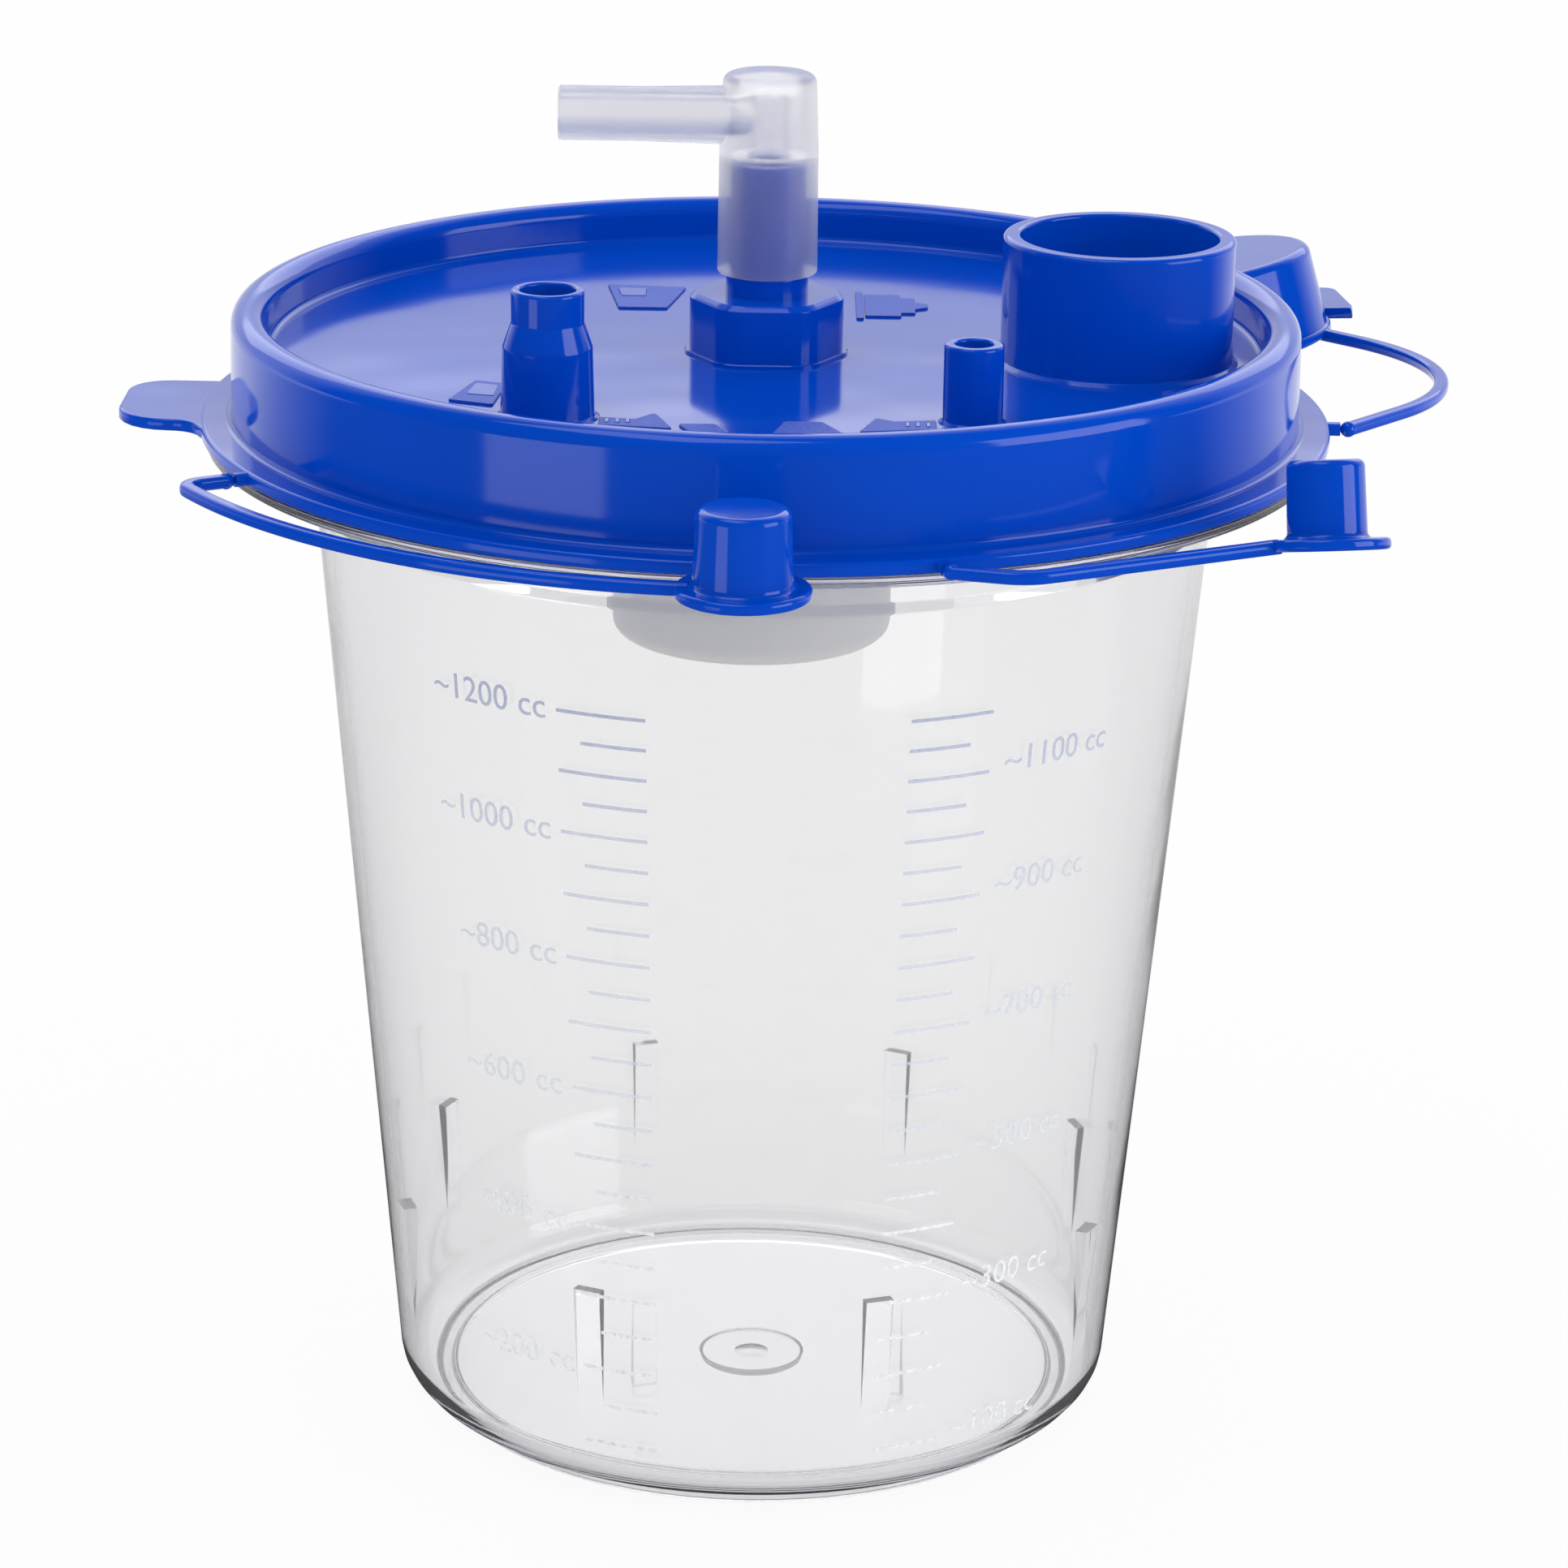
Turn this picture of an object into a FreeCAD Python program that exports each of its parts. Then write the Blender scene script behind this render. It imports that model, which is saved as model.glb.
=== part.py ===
import FreeCAD, Part
import math
import os
from types import SimpleNamespace

import Sketcher
from FreeCAD import Placement, Rotation, Vector

# A ward suction canister, in millimetres. The origin is the centre of the foot ring, on the
# floor. +Z is up, -Y is the front with the volume scale, and the lift tab points to -X.
# Radii and heights of a sub-part are measured in its own frame, which its Placement puts in
# the canister.

# Driving dimensions

CUP = {
    "foot_radius": 46.9,
    "foot_draft": 0.5,
    "foot_width": 2.0,
    "foot_height": 2.2,
    "foot_round": 0.6,
    "heel_round": 5.2,
    "base_recess": 2.0,
    "floor_level": 4.2,
    "floor_round": 4.0,
    "cup_radius": 52.24,
    "cup_slope": 0.08674,
    "cup_wall": 1.6,
    "gate_radius": 7.6,
    "gate_drop": 1.2,
    "gate_round": 0.3,
    "gate_dimple": 2.6,
    "gate_dimple_depth": 0.6,
    "rib_count": 8,
    "rib_first_angle": -115.58,
    "rib_width": 4.0,
    "rib_face_radius": 52.0,
    "rib_foot": 10.0,
    "rib_top": 33.6,
    "shoulder_drop": 10.0,
    "shoulder_step": 0.75,
    "shoulder_rise": 0.8,
    "seat_height": 147.3,
    "ledge_thickness": 1.9,
    "ledge_reach": 5.5,
    "ledge_round": 0.5,
    "mouth_round": 1.0,
    "collar_radius": 72.8,
    "collar_wall": 1.3,
    "collar_height": 15.2,
}

LID = {
    "channel_gap": 0.3,
    "channel_headroom": 0.4,
    "bead_gap": 0.05,
    "bead_level": 12.1,
    "bead_width": 0.8,
    "rim_wall": 1.6,
    "plug_foot_level": 4.0,
    "plug_lead_in": 0.5,
    "plug_lead_in_rise": 1.2,
    "deck_level": 11.0,
    "deck_thickness": 1.5,
    "deck_round": 1.0,
    "crest_level": 17.38,
    "crest_round": 2.25,
    "band_wall": 1.35,
    "band_draft": 0.15,
    "band_root_round": 0.8,
    "flange_overhang": 0.8,
    "flange_thickness": 2.0,
    "flange_round": 0.6,
    "tab_angle": 179.0,
    "tab_length": 11.6,
    "tab_half_width": 11.65,
    "tab_thickness": 1.7,
    "tab_lift": 0.2,
    "tab_root_inside": 4.0,
    "tab_root_outside": 0.6,
    "tab_root_spread": 9.2,
    "tab_front_round": 8.0,
    "tab_back_round": 6.0,
    "tab_root_round": 4.5,
    "boss_y": -1.65,
    "boss_radius": 11.64,
    "boss_corner_round": 4.85,
    "boss_rise": 8.64,
    "boss_chamfer": 0.7,
    "boss_lip": 0.7,
    "boss_lip_thickness": 0.5,
    "neck_radius": 5.82,
    "neck_height": 2.91,
    "spigot_radius": 5.29,
    "spigot_length": 15.81,
    "spigot_round": 0.5,
    "spigot_bore": 3.2,
    "chamber_radius": 7.96,
    "chamber_height": 6.8,
    "ortho_x": 49.58,
    "ortho_y": -3.49,
    "ortho_radius": 16.4,
    "ortho_bore": 13.97,
    "ortho_rise": 17.95,
    "ortho_root_draft": 0.2,
    "ortho_straight_level": 3.0,
    "ortho_edge_round": 0.6,
    "patient_x": -29.4,
    "patient_y": -40.56,
    "patient_root_radius": 6.4,
    "patient_shoulder_radius": 6.11,
    "patient_shoulder_level": 9.7,
    "patient_cone_level": 13.0,
    "patient_tip_radius": 4.95,
    "patient_rise": 17.56,
    "patient_bore": 3.78,
    "tandem_x": 28.04,
    "tandem_y": -40.56,
    "tandem_radius": 4.08,
    "tandem_rise": 10.96,
    "tandem_bore": 2.57,
    "port_edge_round": 0.4,
    "port_root_round": 0.5,
}

VALVE = {
    "housing_x": -1.55,
    "housing_radius": 19.99,
    "housing_wall": 1.4,
    "housing_depth": 39.35,
    "housing_floor": 1.6,
    "housing_round": 2.1,
    "socket_wall": 1.4,
    "socket_depth": 5.0,
    "press_gap": 0.1,
    "window_count": 4,
    "window_width": 13.6,
    "window_height": 7.8,
    "window_drop": 7.1,
    "drain_count": 6,
    "drain_radius": 2.9,
    "drain_circle": 10.7,
    "guide_count": 4,
    "guide_first_angle": 45.0,
    "guide_width": 1.6,
    "guide_height": 26.2,
    "guide_gap": 0.4,
    "float_radius": 15.5,
    "float_height": 19.4,
    "float_wall": 1.2,
    "float_round": 1.5,
    "stem_radius": 2.9,
    "stem_length": 10.1,
    "seal_radius": 4.85,
    "seal_thickness": 2.0,
    "seal_round": 0.3,
    "seat_bore": 2.5,
    "seat_wall": 1.2,
    "seat_drop": 0.7,
    "plate_gap": 0.05,
    "plate_thickness": 1.8,
    "plate_ring_wall": 1.3,
    "filter_gap": 0.15,
    "filter_thickness": 1.6,
}

ELBOW = {
    "elbow_lift": 0.1,
    "elbow_fit": 0.05,
    "skirt_radius": 7.08,
    "skirt_draft": 0.1,
    "skirt_height": 17.37,
    "head_radius": 6.55,
    "elbow_height": 28.24,
    "head_round": 1.36,
    "socket_headroom": 1.0,
    "passage_radius": 3.2,
    "passage_headroom": 0.5,
    "tube_level": 22.22,
    "tube_length": 29.55,
    "tube_root_radius": 4.27,
    "tube_radius": 3.83,
    "tube_straight": 11.6,
    "tube_bore": 2.8,
}

CUTS = {
    "overshoot": 1.0,
}

STRAPS = {
    "strap_width": 2.2,
    "strap_thickness": 1.8,
    "strap_round": 0.7,
    "strap_level": 1.0,
    "pivot_reach": 2.8,
    "pivot_ball": 1.15,
    "pivot_gap": 0.3,
    "patient_strap_angle": -151.5,
    "patient_strap_turn": 2.6,
    "patient_strap_reach": 6.5,
    "patient_cap_angle": 59.9,
    "patient_cap_drop": 0.9,
    "patient_cap_root": 6.6,
    "patient_cap_top": 6.1,
    "patient_cap_height": 11.8,
    "patient_cap_brim": 8.9,
    "patient_cap_inner": 5.05,
    "tandem_strap_angle": -73.0,
    "tandem_strap_knee_out": 5.3,
    "tandem_strap_knee_along": 8.5,
    "tandem_strap_turn": 8.0,
    "tandem_cap_out": -1.2,
    "tandem_cap_along": 52.8,
    "tandem_cap_drop": 1.0,
    "tandem_cap_lean": 15.2,
    "tandem_cap_lean_way": 172.6,
    "tandem_cap_root": 5.35,
    "tandem_cap_top": 5.15,
    "tandem_cap_height": 12.0,
    "tandem_cap_brim": 8.4,
    "tandem_cap_inner": 4.2,
    "brim_thickness": 1.6,
    "brim_round": 0.6,
    "cap_round": 1.0,
    "cap_top_wall": 1.3,
    "ortho_strap_angle": -1.5,
    "ortho_strap_tilt": 2.1,
    "ortho_strap_heading": 54.2,
    "ortho_strap_first_run": 14.6,
    "ortho_strap_bend": 41.3,
    "ortho_strap_turn": 77.7,
    "ortho_strap_last_run": 7.6,
    "ortho_cap_out": -15.8,
    "ortho_cap_along": 74.3,
    "ortho_cap_drop": 6.3,
    "ortho_cap_lean": 11.1,
    "ortho_cap_lean_way": 168.6,
    "ortho_cap_root": 18.6,
    "ortho_cap_top": 17.5,
    "ortho_cap_height": 14.0,
    "ortho_cap_wall": 1.3,
    "ortho_cap_round": 1.5,
    "ortho_cap_lip": 0.5,
    "ortho_cap_lip_height": 1.6,
    "pull_tab_way": 51.5,
    "pull_tab_root": 3.9,
    "pull_tab_reach": 33.8,
    "pull_tab_round": 6.0,
    "pull_tab_shoulder": 16.5,
    "pull_tab_half_width": 17.0,
    "pull_tab_shoulder_round": 10.0,
    "pull_tab_thickness": 1.8,
}

DIMENSIONS = {**CUP, **LID, **VALVE, **ELBOW, **STRAPS, **CUTS}
LENGTH_TOLERANCE = 1e-4


class Size:
    """A length or angle together with the sheet formula that gives it."""

    def __init__(self, value, formula):
        self.value = float(value)
        self.formula = formula

    def __add__(self, other):
        other = as_size(other)
        return Size(self.value + other.value, f"({self.formula} + {other.formula})")

    def __sub__(self, other):
        other = as_size(other)
        return Size(self.value - other.value, f"({self.formula} - {other.formula})")

    def __mul__(self, other):
        other = as_size(other)
        return Size(self.value * other.value, f"({self.formula} * {other.formula})")

    def __truediv__(self, other):
        other = as_size(other)
        return Size(self.value / other.value, f"({self.formula} / {other.formula})")

    def __neg__(self):
        return Size(-self.value, f"(0 - {self.formula})")

    def __radd__(self, other):
        return as_size(other) + self

    def __rsub__(self, other):
        return as_size(other) - self

    def __rmul__(self, other):
        return as_size(other) * self


def as_size(amount):
    if isinstance(amount, Size):
        return amount
    return Size(amount, f"({amount!r})")


def cosine(angle):
    """Cosine of an angle in degrees."""
    angle = as_size(angle)
    return Size(math.cos(math.radians(angle.value)), f"cos({angle.formula})")


def sine(angle):
    """Sine of an angle in degrees."""
    angle = as_size(angle)
    return Size(math.sin(math.radians(angle.value)), f"sin({angle.formula})")


def root(amount):
    return Size(math.sqrt(amount.value), f"sqrt({amount.formula})")


def value(amount):
    return as_size(amount).value


doc = FreeCAD.newDocument("suction_canister")
sheet = doc.addObject("Spreadsheet::Sheet", "Sizes")


def fill_sheet():
    """One row for each driving dimension: its name, and its number under that alias."""
    named = {}
    for row, (alias, number) in enumerate(DIMENSIONS.items(), start=1):
        sheet.set(f"A{row}", alias)
        sheet.set(f"B{row}", str(number))
        sheet.setAlias(f"B{row}", alias)
        named[alias] = Size(number, f"Sizes.{alias}")
    doc.recompute()
    return SimpleNamespace(**named)


d = fill_sheet()


# Helpers for bodies, sketches and features


def bind(thing, prop, amount):
    """Set one number of an object, with its formula where it has one."""
    if isinstance(amount, Size):
        thing.setExpression(prop, amount.formula)


def new_body(label, at=(0, 0, 0), spin=0):
    """A sub-part whose own frame stands at a point of the canister, turned about the vertical."""
    body = doc.addObject("PartDesign::Body", label)
    body.Label = label
    body.Placement = Placement(
        Vector(*[value(each) for each in at]), Rotation(Vector(0, 0, 1), value(spin))
    )
    for axis, amount in zip("xyz", at):
        bind(body, f"Placement.Base.{axis}", amount)
    bind(body, "Placement.Rotation.Angle", spin)
    return body


def origin_part(body, role):
    return next(part for part in body.Origin.OriginFeatures if part.Role == role)


def new_sketch(body, name, plane, at=(0, 0, 0), spin=0, lean=None):
    """A sketch on an origin plane, moved to a point of the body's frame.

    spin turns it about the body's vertical axis. lean is (direction, angle): the plane's
    vertical tips over by the angle towards that direction.
    """
    x, y, z = at
    sketch = body.newObject("Sketcher::SketchObject", name)
    sketch.AttachmentSupport = [(origin_part(body, plane), "")]
    sketch.MapMode = "FlatFace"
    upright = plane == "XZ_Plane"
    if lean:
        direction, angle = lean
        side = math.radians(value(direction) + 90)
        axis = Vector(math.cos(side), math.sin(side), 0)
    else:
        angle = spin
        axis = Vector(0, 0, 1)
    offset = (x, z, -y if isinstance(y, Size) else -1 * y) if upright else (x, y, z)
    if upright:
        axis = Vector(axis.x, axis.z, -axis.y)
    sketch.AttachmentOffset = Placement(
        Vector(*[value(each) for each in offset]), Rotation(axis, value(angle))
    )
    for letter, amount in zip("xyz", offset):
        bind(sketch, f"AttachmentOffset.Base.{letter}", amount)
    bind(sketch, "AttachmentOffset.Rotation.Angle", angle)
    return sketch


class Drawing:
    """Collects the geometry and constraints of one sketch, then puts them in together."""

    def __init__(self, sketch):
        self.sketch = sketch
        self.shapes = []
        self.rules = []
        self.formulas = []

    def add(self, shape, construction=False):
        self.shapes.append((shape, construction))
        return len(self.shapes) - 1

    def rule(self, *words):
        self.rules.append(Sketcher.Constraint(*words))

    def measure(self, words, amount):
        """A dimension, with its formula where the amount has one."""
        if isinstance(amount, Size):
            self.formulas.append((len(self.rules), amount.formula))
        self.rule(*words, value(amount))

    def hold(self, shape, end, x, y):
        """Fix a point at its distances from the sketch's origin."""
        for kind, amount, axis in (("DistanceX", x, -2), ("DistanceY", y, -1)):
            if isinstance(amount, Size):
                self.measure((kind, -1, 1, shape, end), amount)
            elif amount == 0:
                self.rule("PointOnObject", shape, end, axis)
            else:
                self.measure((kind, -1, 1, shape, end), amount)

    def finish(self):
        for shape, construction in self.shapes:
            self.sketch.addGeometry(shape, construction)
        self.sketch.addConstraint(self.rules)
        for place, formula in self.formulas:
            self.sketch.setExpression(f"Constraints[{place}]", formula)
        return self.sketch


def flat(point):
    return Vector(value(point[0]), value(point[1]), 0)


def draw_outline(sketch, corners, closed=True):
    """Straight runs through corners (x, y) or (x, y, radius); a radius rounds its corner."""
    drawing = Drawing(sketch)
    count = len(corners)
    places = [flat(corner) for corner in corners]
    turns = []
    for index, corner in enumerate(corners):
        here = places[index]
        if len(corner) == 2 or not closed and index in (0, count - 1):
            turns.append((here, here, None))
            continue
        back = (places[index - 1] - here).normalize()
        ahead = (places[(index + 1) % count] - here).normalize()
        radius = value(corner[2])
        half = back.getAngle(ahead) / 2
        reach = radius / math.tan(half)
        middle = here + (back + ahead).normalize() * (radius / math.sin(half))
        left = back.cross(ahead).z < 0
        turns.append((here + back * reach, here + ahead * reach, (middle, radius, left)))
    runs = count if closed else count - 1
    for index in range(runs):
        drawing.add(Part.LineSegment(turns[index][1], turns[(index + 1) % count][0]))
    for index, corner in enumerate(corners):
        first, last, arc = turns[index]
        before = (index - 1) % count if closed else index - 1
        if arc is None:
            if closed or 0 < index < count - 1:
                drawing.rule("Coincident", before, 2, index, 1)
            if index < runs:
                drawing.hold(index, 1, corner[0], corner[1])
            else:
                drawing.hold(before, 2, corner[0], corner[1])
            continue
        middle, radius, left = arc
        start, stop = (first, last) if left else (last, first)
        angles = [math.atan2(end.y - middle.y, end.x - middle.x) for end in (start, stop)]
        circle = Part.Circle(middle, Vector(0, 0, 1), radius)
        bend = drawing.add(Part.ArcOfCircle(circle, angles[0], angles[1]))
        drawing.rule("Tangent", before, 2, bend, 1 if left else 2)
        drawing.rule("Tangent", bend, 2 if left else 1, index, 1)
        drawing.measure(("Radius", bend), corner[2])
        point = drawing.add(Part.Point(places[index]), True)
        drawing.rule("PointOnObject", point, 1, before)
        drawing.rule("PointOnObject", point, 1, index)
        drawing.hold(point, 1, corner[0], corner[1])
    return drawing.finish()


def turned(body, name, corners, at=(0, 0, 0), spin=0, lean=None, cut=False):
    """A solid of revolution from a half section of (radius, height) corners, or its cut."""
    sketch = new_sketch(body, f"{name}_section", "XZ_Plane", at, spin, lean)
    draw_outline(sketch, corners)
    kind = "PartDesign::Groove" if cut else "PartDesign::Revolution"
    feature = body.newObject(kind, name)
    feature.Profile = sketch
    feature.ReferenceAxis = (sketch, ["V_Axis"])
    feature.Angle = 360
    body.Tip = feature
    return feature


def bored(body, name, radius, bottom, top, at=(0, 0, 0), lean=None):
    """A round hole about a vertical line of the body's frame."""
    corners = [(0, bottom), (radius, bottom), (radius, top), (0, top)]
    return turned(body, name, corners, at=at, lean=lean, cut=True)


def raised(body, name, corners, height, at=(0, 0, 0), spin=0, lean=None):
    """A plate of even height on a level outline."""
    sketch = new_sketch(body, f"{name}_outline", "XY_Plane", at, spin, lean)
    draw_outline(sketch, corners)
    feature = body.newObject("PartDesign::Pad", name)
    feature.Profile = sketch
    feature.Length = value(height)
    bind(feature, "Length", height)
    body.Tip = feature
    return feature


def repeated(body, name, feature, count):
    """Copies of a feature at even angles round the body's vertical axis."""
    pattern = body.newObject("PartDesign::PolarPattern", name)
    pattern.Originals = [feature]
    pattern.Axis = (origin_part(body, "Z_Axis"), [""])
    pattern.Angle = 360
    pattern.Occurrences = int(value(count))
    bind(pattern, "Occurrences", count)
    body.Tip = pattern
    return pattern


def edge_is_level_at(edge, height):
    box = edge.BoundBox
    return box.ZLength < LENGTH_TOLERANCE and abs(box.ZMin - height) < LENGTH_TOLERANCE


def box_outline(near, far, half_width):
    return [(near, -half_width), (far, -half_width), (far, half_width), (near, half_width)]


# Cup


def cup_outer(height):
    """Radius of the cup's outer cone at a height."""
    return d.cup_radius + d.cup_slope * height


def cup_inner(height):
    return cup_outer(height) - d.cup_wall


SHOULDER = d.seat_height - d.shoulder_drop
LEDGE_RADIUS = d.collar_radius + d.collar_wall + d.ledge_reach


def make_cup():
    """Clear moulded cup: foot ring, tapered wall, mouth ledge and the collar the lid snaps on."""
    body = new_body("cup")
    seat = d.seat_height
    ledge = d.seat_height - d.ledge_thickness
    shoulder = SHOULDER + d.shoulder_rise
    collar_outer = d.collar_radius + d.collar_wall
    collar_top = seat + d.collar_height
    foot_top = d.foot_radius + d.foot_draft
    gate_under = d.base_recess - d.gate_drop
    turned(body, "cup_wall", [
        (0, gate_under + d.gate_dimple_depth),
        (d.gate_dimple, gate_under),
        (d.gate_radius, gate_under, d.gate_round),
        (d.gate_radius, d.base_recess),
        (d.foot_radius - d.foot_width, d.base_recess, d.foot_round),
        (d.foot_radius - d.foot_width, 0, d.foot_round),
        (d.foot_radius, 0, d.foot_round),
        (foot_top, d.foot_height),
        (cup_outer(d.foot_height), d.foot_height, d.heel_round),
        (cup_outer(SHOULDER), SHOULDER),
        (cup_outer(shoulder) + d.shoulder_step, shoulder),
        (cup_outer(ledge) + d.shoulder_step, ledge, d.ledge_round),
        (LEDGE_RADIUS, ledge, d.ledge_round),
        (LEDGE_RADIUS, seat, d.ledge_round),
        (collar_outer, seat, d.ledge_round),
        (collar_outer, collar_top, d.ledge_round),
        (d.collar_radius, collar_top, d.ledge_round),
        (d.collar_radius, seat, d.ledge_round),
        (cup_inner(seat), seat, d.mouth_round),
        (cup_inner(d.floor_level), d.floor_level, d.floor_round),
        (0, d.floor_level),
    ])
    half_wall = d.cup_wall / 2
    sketch = new_sketch(body, "stacking_rib_side", "XZ_Plane", spin=d.rib_first_angle)
    draw_outline(sketch, [
        (d.rib_face_radius, d.rib_foot),
        (cup_inner(d.rib_foot) + half_wall, d.rib_foot),
        (cup_inner(d.rib_top) + half_wall, d.rib_top),
        (d.rib_face_radius, d.rib_top),
    ])
    rib = body.newObject("PartDesign::Pad", "stacking_rib")
    rib.Profile = sketch
    rib.SideType = "Symmetric"
    rib.Length = value(d.rib_width)
    bind(rib, "Length", d.rib_width)
    repeated(body, "stacking_ribs", rib, d.rib_count)
    return body


# Lid: heights are measured from the face that rests on the cup's ledge

FLANGE_RADIUS = LEDGE_RADIUS + d.flange_overhang
PIVOT_RADIUS = FLANGE_RADIUS + d.pivot_reach
DECK_UNDER = d.deck_level - d.deck_thickness
BOSS_TOP = d.deck_level + d.boss_rise
NECK_TOP = BOSS_TOP + d.neck_height
SPIGOT_TOP = NECK_TOP + d.spigot_length
CHAMBER_TOP = DECK_UNDER + d.chamber_height
INTO_DECK = DECK_UNDER + d.deck_thickness / 2


def hexagon(radius, rounding):
    """Six corners at one radius from the centre, the first pointing along +X."""
    return [
        (radius * cosine(60 * turn), radius * sine(60 * turn), rounding) for turn in range(6)
    ]


def lid_rim(body):
    """Deck, plug wall, snap channel with its seal bead, outer band and flange in one section."""
    channel_inner = d.collar_radius - d.channel_gap
    channel_outer = d.collar_radius + d.collar_wall + d.channel_gap
    channel_top = d.collar_height + d.channel_headroom
    bead = d.collar_radius - d.bead_gap
    bead_slope = d.collar_radius - d.bead_gap - channel_inner
    rim_inner = channel_inner - d.rim_wall
    plug_foot = d.plug_foot_level
    band = channel_outer + d.band_wall
    turned(body, "lid_shell", [
        (0, DECK_UNDER),
        (rim_inner, DECK_UNDER, d.deck_round),
        (rim_inner, plug_foot),
        (channel_inner - d.plug_lead_in, plug_foot),
        (channel_inner, plug_foot + d.plug_lead_in_rise),
        (channel_inner, d.bead_level),
        (bead, d.bead_level + bead_slope),
        (bead, d.bead_level + d.bead_width - bead_slope),
        (channel_inner, d.bead_level + d.bead_width),
        (channel_inner, channel_top, d.flange_round),
        (channel_outer, channel_top, d.flange_round),
        (channel_outer, 0, d.flange_round),
        (FLANGE_RADIUS, 0, d.flange_round),
        (FLANGE_RADIUS, d.flange_thickness, d.flange_round),
        (band + d.band_draft, d.flange_thickness, d.band_root_round),
        (band, d.crest_level, d.crest_round),
        (rim_inner, d.crest_level, d.crest_round),
        (rim_inner, d.deck_level, d.deck_round),
        (0, d.deck_level),
    ])


def lid_tab_and_lugs(body):
    """Lift tab at the left, and the short lugs where the three straps leave the flange."""
    reach = FLANGE_RADIUS + d.tab_length
    inside = FLANGE_RADIUS - d.tab_root_inside
    corner = FLANGE_RADIUS + d.tab_root_outside
    raised(body, "lift_tab", [
        (inside, -d.tab_half_width),
        (reach, -d.tab_half_width, d.tab_back_round),
        (reach, d.tab_half_width, d.tab_front_round),
        (corner, d.tab_half_width, d.tab_root_round),
        (inside, d.tab_half_width + d.tab_root_spread),
    ], d.tab_thickness, at=(0, 0, d.tab_lift), spin=d.tab_angle)
    lug_end = PIVOT_RADIUS - d.pivot_ball - d.pivot_gap
    lug_near = FLANGE_RADIUS - d.flange_thickness
    bottom = d.strap_level - d.strap_thickness / 2
    for name, angle in (
        ("patient", d.patient_strap_angle),
        ("tandem", d.tandem_strap_angle),
        ("ortho", d.ortho_strap_angle),
    ):
        outline = box_outline(lug_near, lug_end, d.strap_width / 2)
        raised(body, f"{name}_lug", outline, d.strap_thickness, at=(0, 0, bottom), spin=angle)


def lid_vacuum_boss(body):
    """Hexagonal boss with a base lip, a neck and the spigot that the elbow turns on."""
    centre = (0, d.boss_y, INTO_DECK)
    rounding = d.boss_corner_round
    boss = raised(
        body, "vacuum_boss", hexagon(d.boss_radius, rounding), BOSS_TOP - INTO_DECK, at=centre
    )
    doc.recompute()
    top = [
        f"Edge{number}"
        for number, edge in enumerate(boss.Shape.Edges, start=1)
        if edge_is_level_at(edge, value(BOSS_TOP))
        and math.hypot(edge.CenterOfMass.x, edge.CenterOfMass.y - value(d.boss_y))
        < value(d.boss_radius)
    ]
    chamfer = body.newObject("PartDesign::Chamfer", "boss_chamfer")
    chamfer.Base = (boss, top)
    chamfer.Size = value(d.boss_chamfer)
    bind(chamfer, "Size", d.boss_chamfer)
    lip_top = d.deck_level + d.boss_lip_thickness
    raised(
        body, "boss_lip", hexagon(d.boss_radius + d.boss_lip, rounding),
        lip_top - INTO_DECK, at=centre,
    )
    turned(body, "spigot", [
        (0, INTO_DECK),
        (d.neck_radius, INTO_DECK),
        (d.neck_radius, NECK_TOP),
        (d.spigot_radius, NECK_TOP),
        (d.spigot_radius, SPIGOT_TOP, d.spigot_round),
        (0, SPIGOT_TOP),
    ], at=(0, d.boss_y, 0))
    bored(body, "filter_chamber", d.chamber_radius, 0, CHAMBER_TOP, at=(0, d.boss_y, 0))
    bored(body, "spigot_passage", d.spigot_bore, 0, SPIGOT_TOP + d.overshoot, at=(0, d.boss_y, 0))


def port_root(radius):
    """The flare that joins a port's wall to the deck, as section corners from the axis out."""
    return [
        (0, INTO_DECK),
        (radius + d.port_root_round, INTO_DECK),
        (radius + d.port_root_round, d.deck_level),
        (radius, d.deck_level + d.port_root_round),
    ]


def lid_ports(body):
    """Ortho, patient and tandem ports, each open through the deck."""
    ortho_top = d.deck_level + d.ortho_rise
    patient_top = d.deck_level + d.patient_rise
    tandem_top = d.deck_level + d.tandem_rise
    ortho = (d.ortho_x, d.ortho_y, 0)
    patient = (d.patient_x, d.patient_y, 0)
    tandem = (d.tandem_x, d.tandem_y, 0)
    turned(body, "ortho_port", port_root(d.ortho_radius + d.ortho_root_draft) + [
        (d.ortho_radius, d.deck_level + d.ortho_straight_level),
        (d.ortho_radius, ortho_top, d.ortho_edge_round),
        (0, ortho_top),
    ], at=ortho)
    turned(body, "patient_port", port_root(d.patient_root_radius) + [
        (d.patient_shoulder_radius, d.deck_level + d.patient_shoulder_level),
        (d.patient_tip_radius, d.deck_level + d.patient_cone_level),
        (d.patient_tip_radius, patient_top, d.port_edge_round),
        (0, patient_top),
    ], at=patient)
    turned(body, "tandem_port", port_root(d.tandem_radius) + [
        (d.tandem_radius, tandem_top, d.port_edge_round),
        (0, tandem_top),
    ], at=tandem)
    bored(body, "ortho_bore", d.ortho_bore, 0, ortho_top + d.overshoot, at=ortho)
    bored(body, "patient_bore", d.patient_bore, 0, patient_top + d.overshoot, at=patient)
    bored(body, "tandem_bore", d.tandem_bore, 0, tandem_top + d.overshoot, at=tandem)


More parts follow.
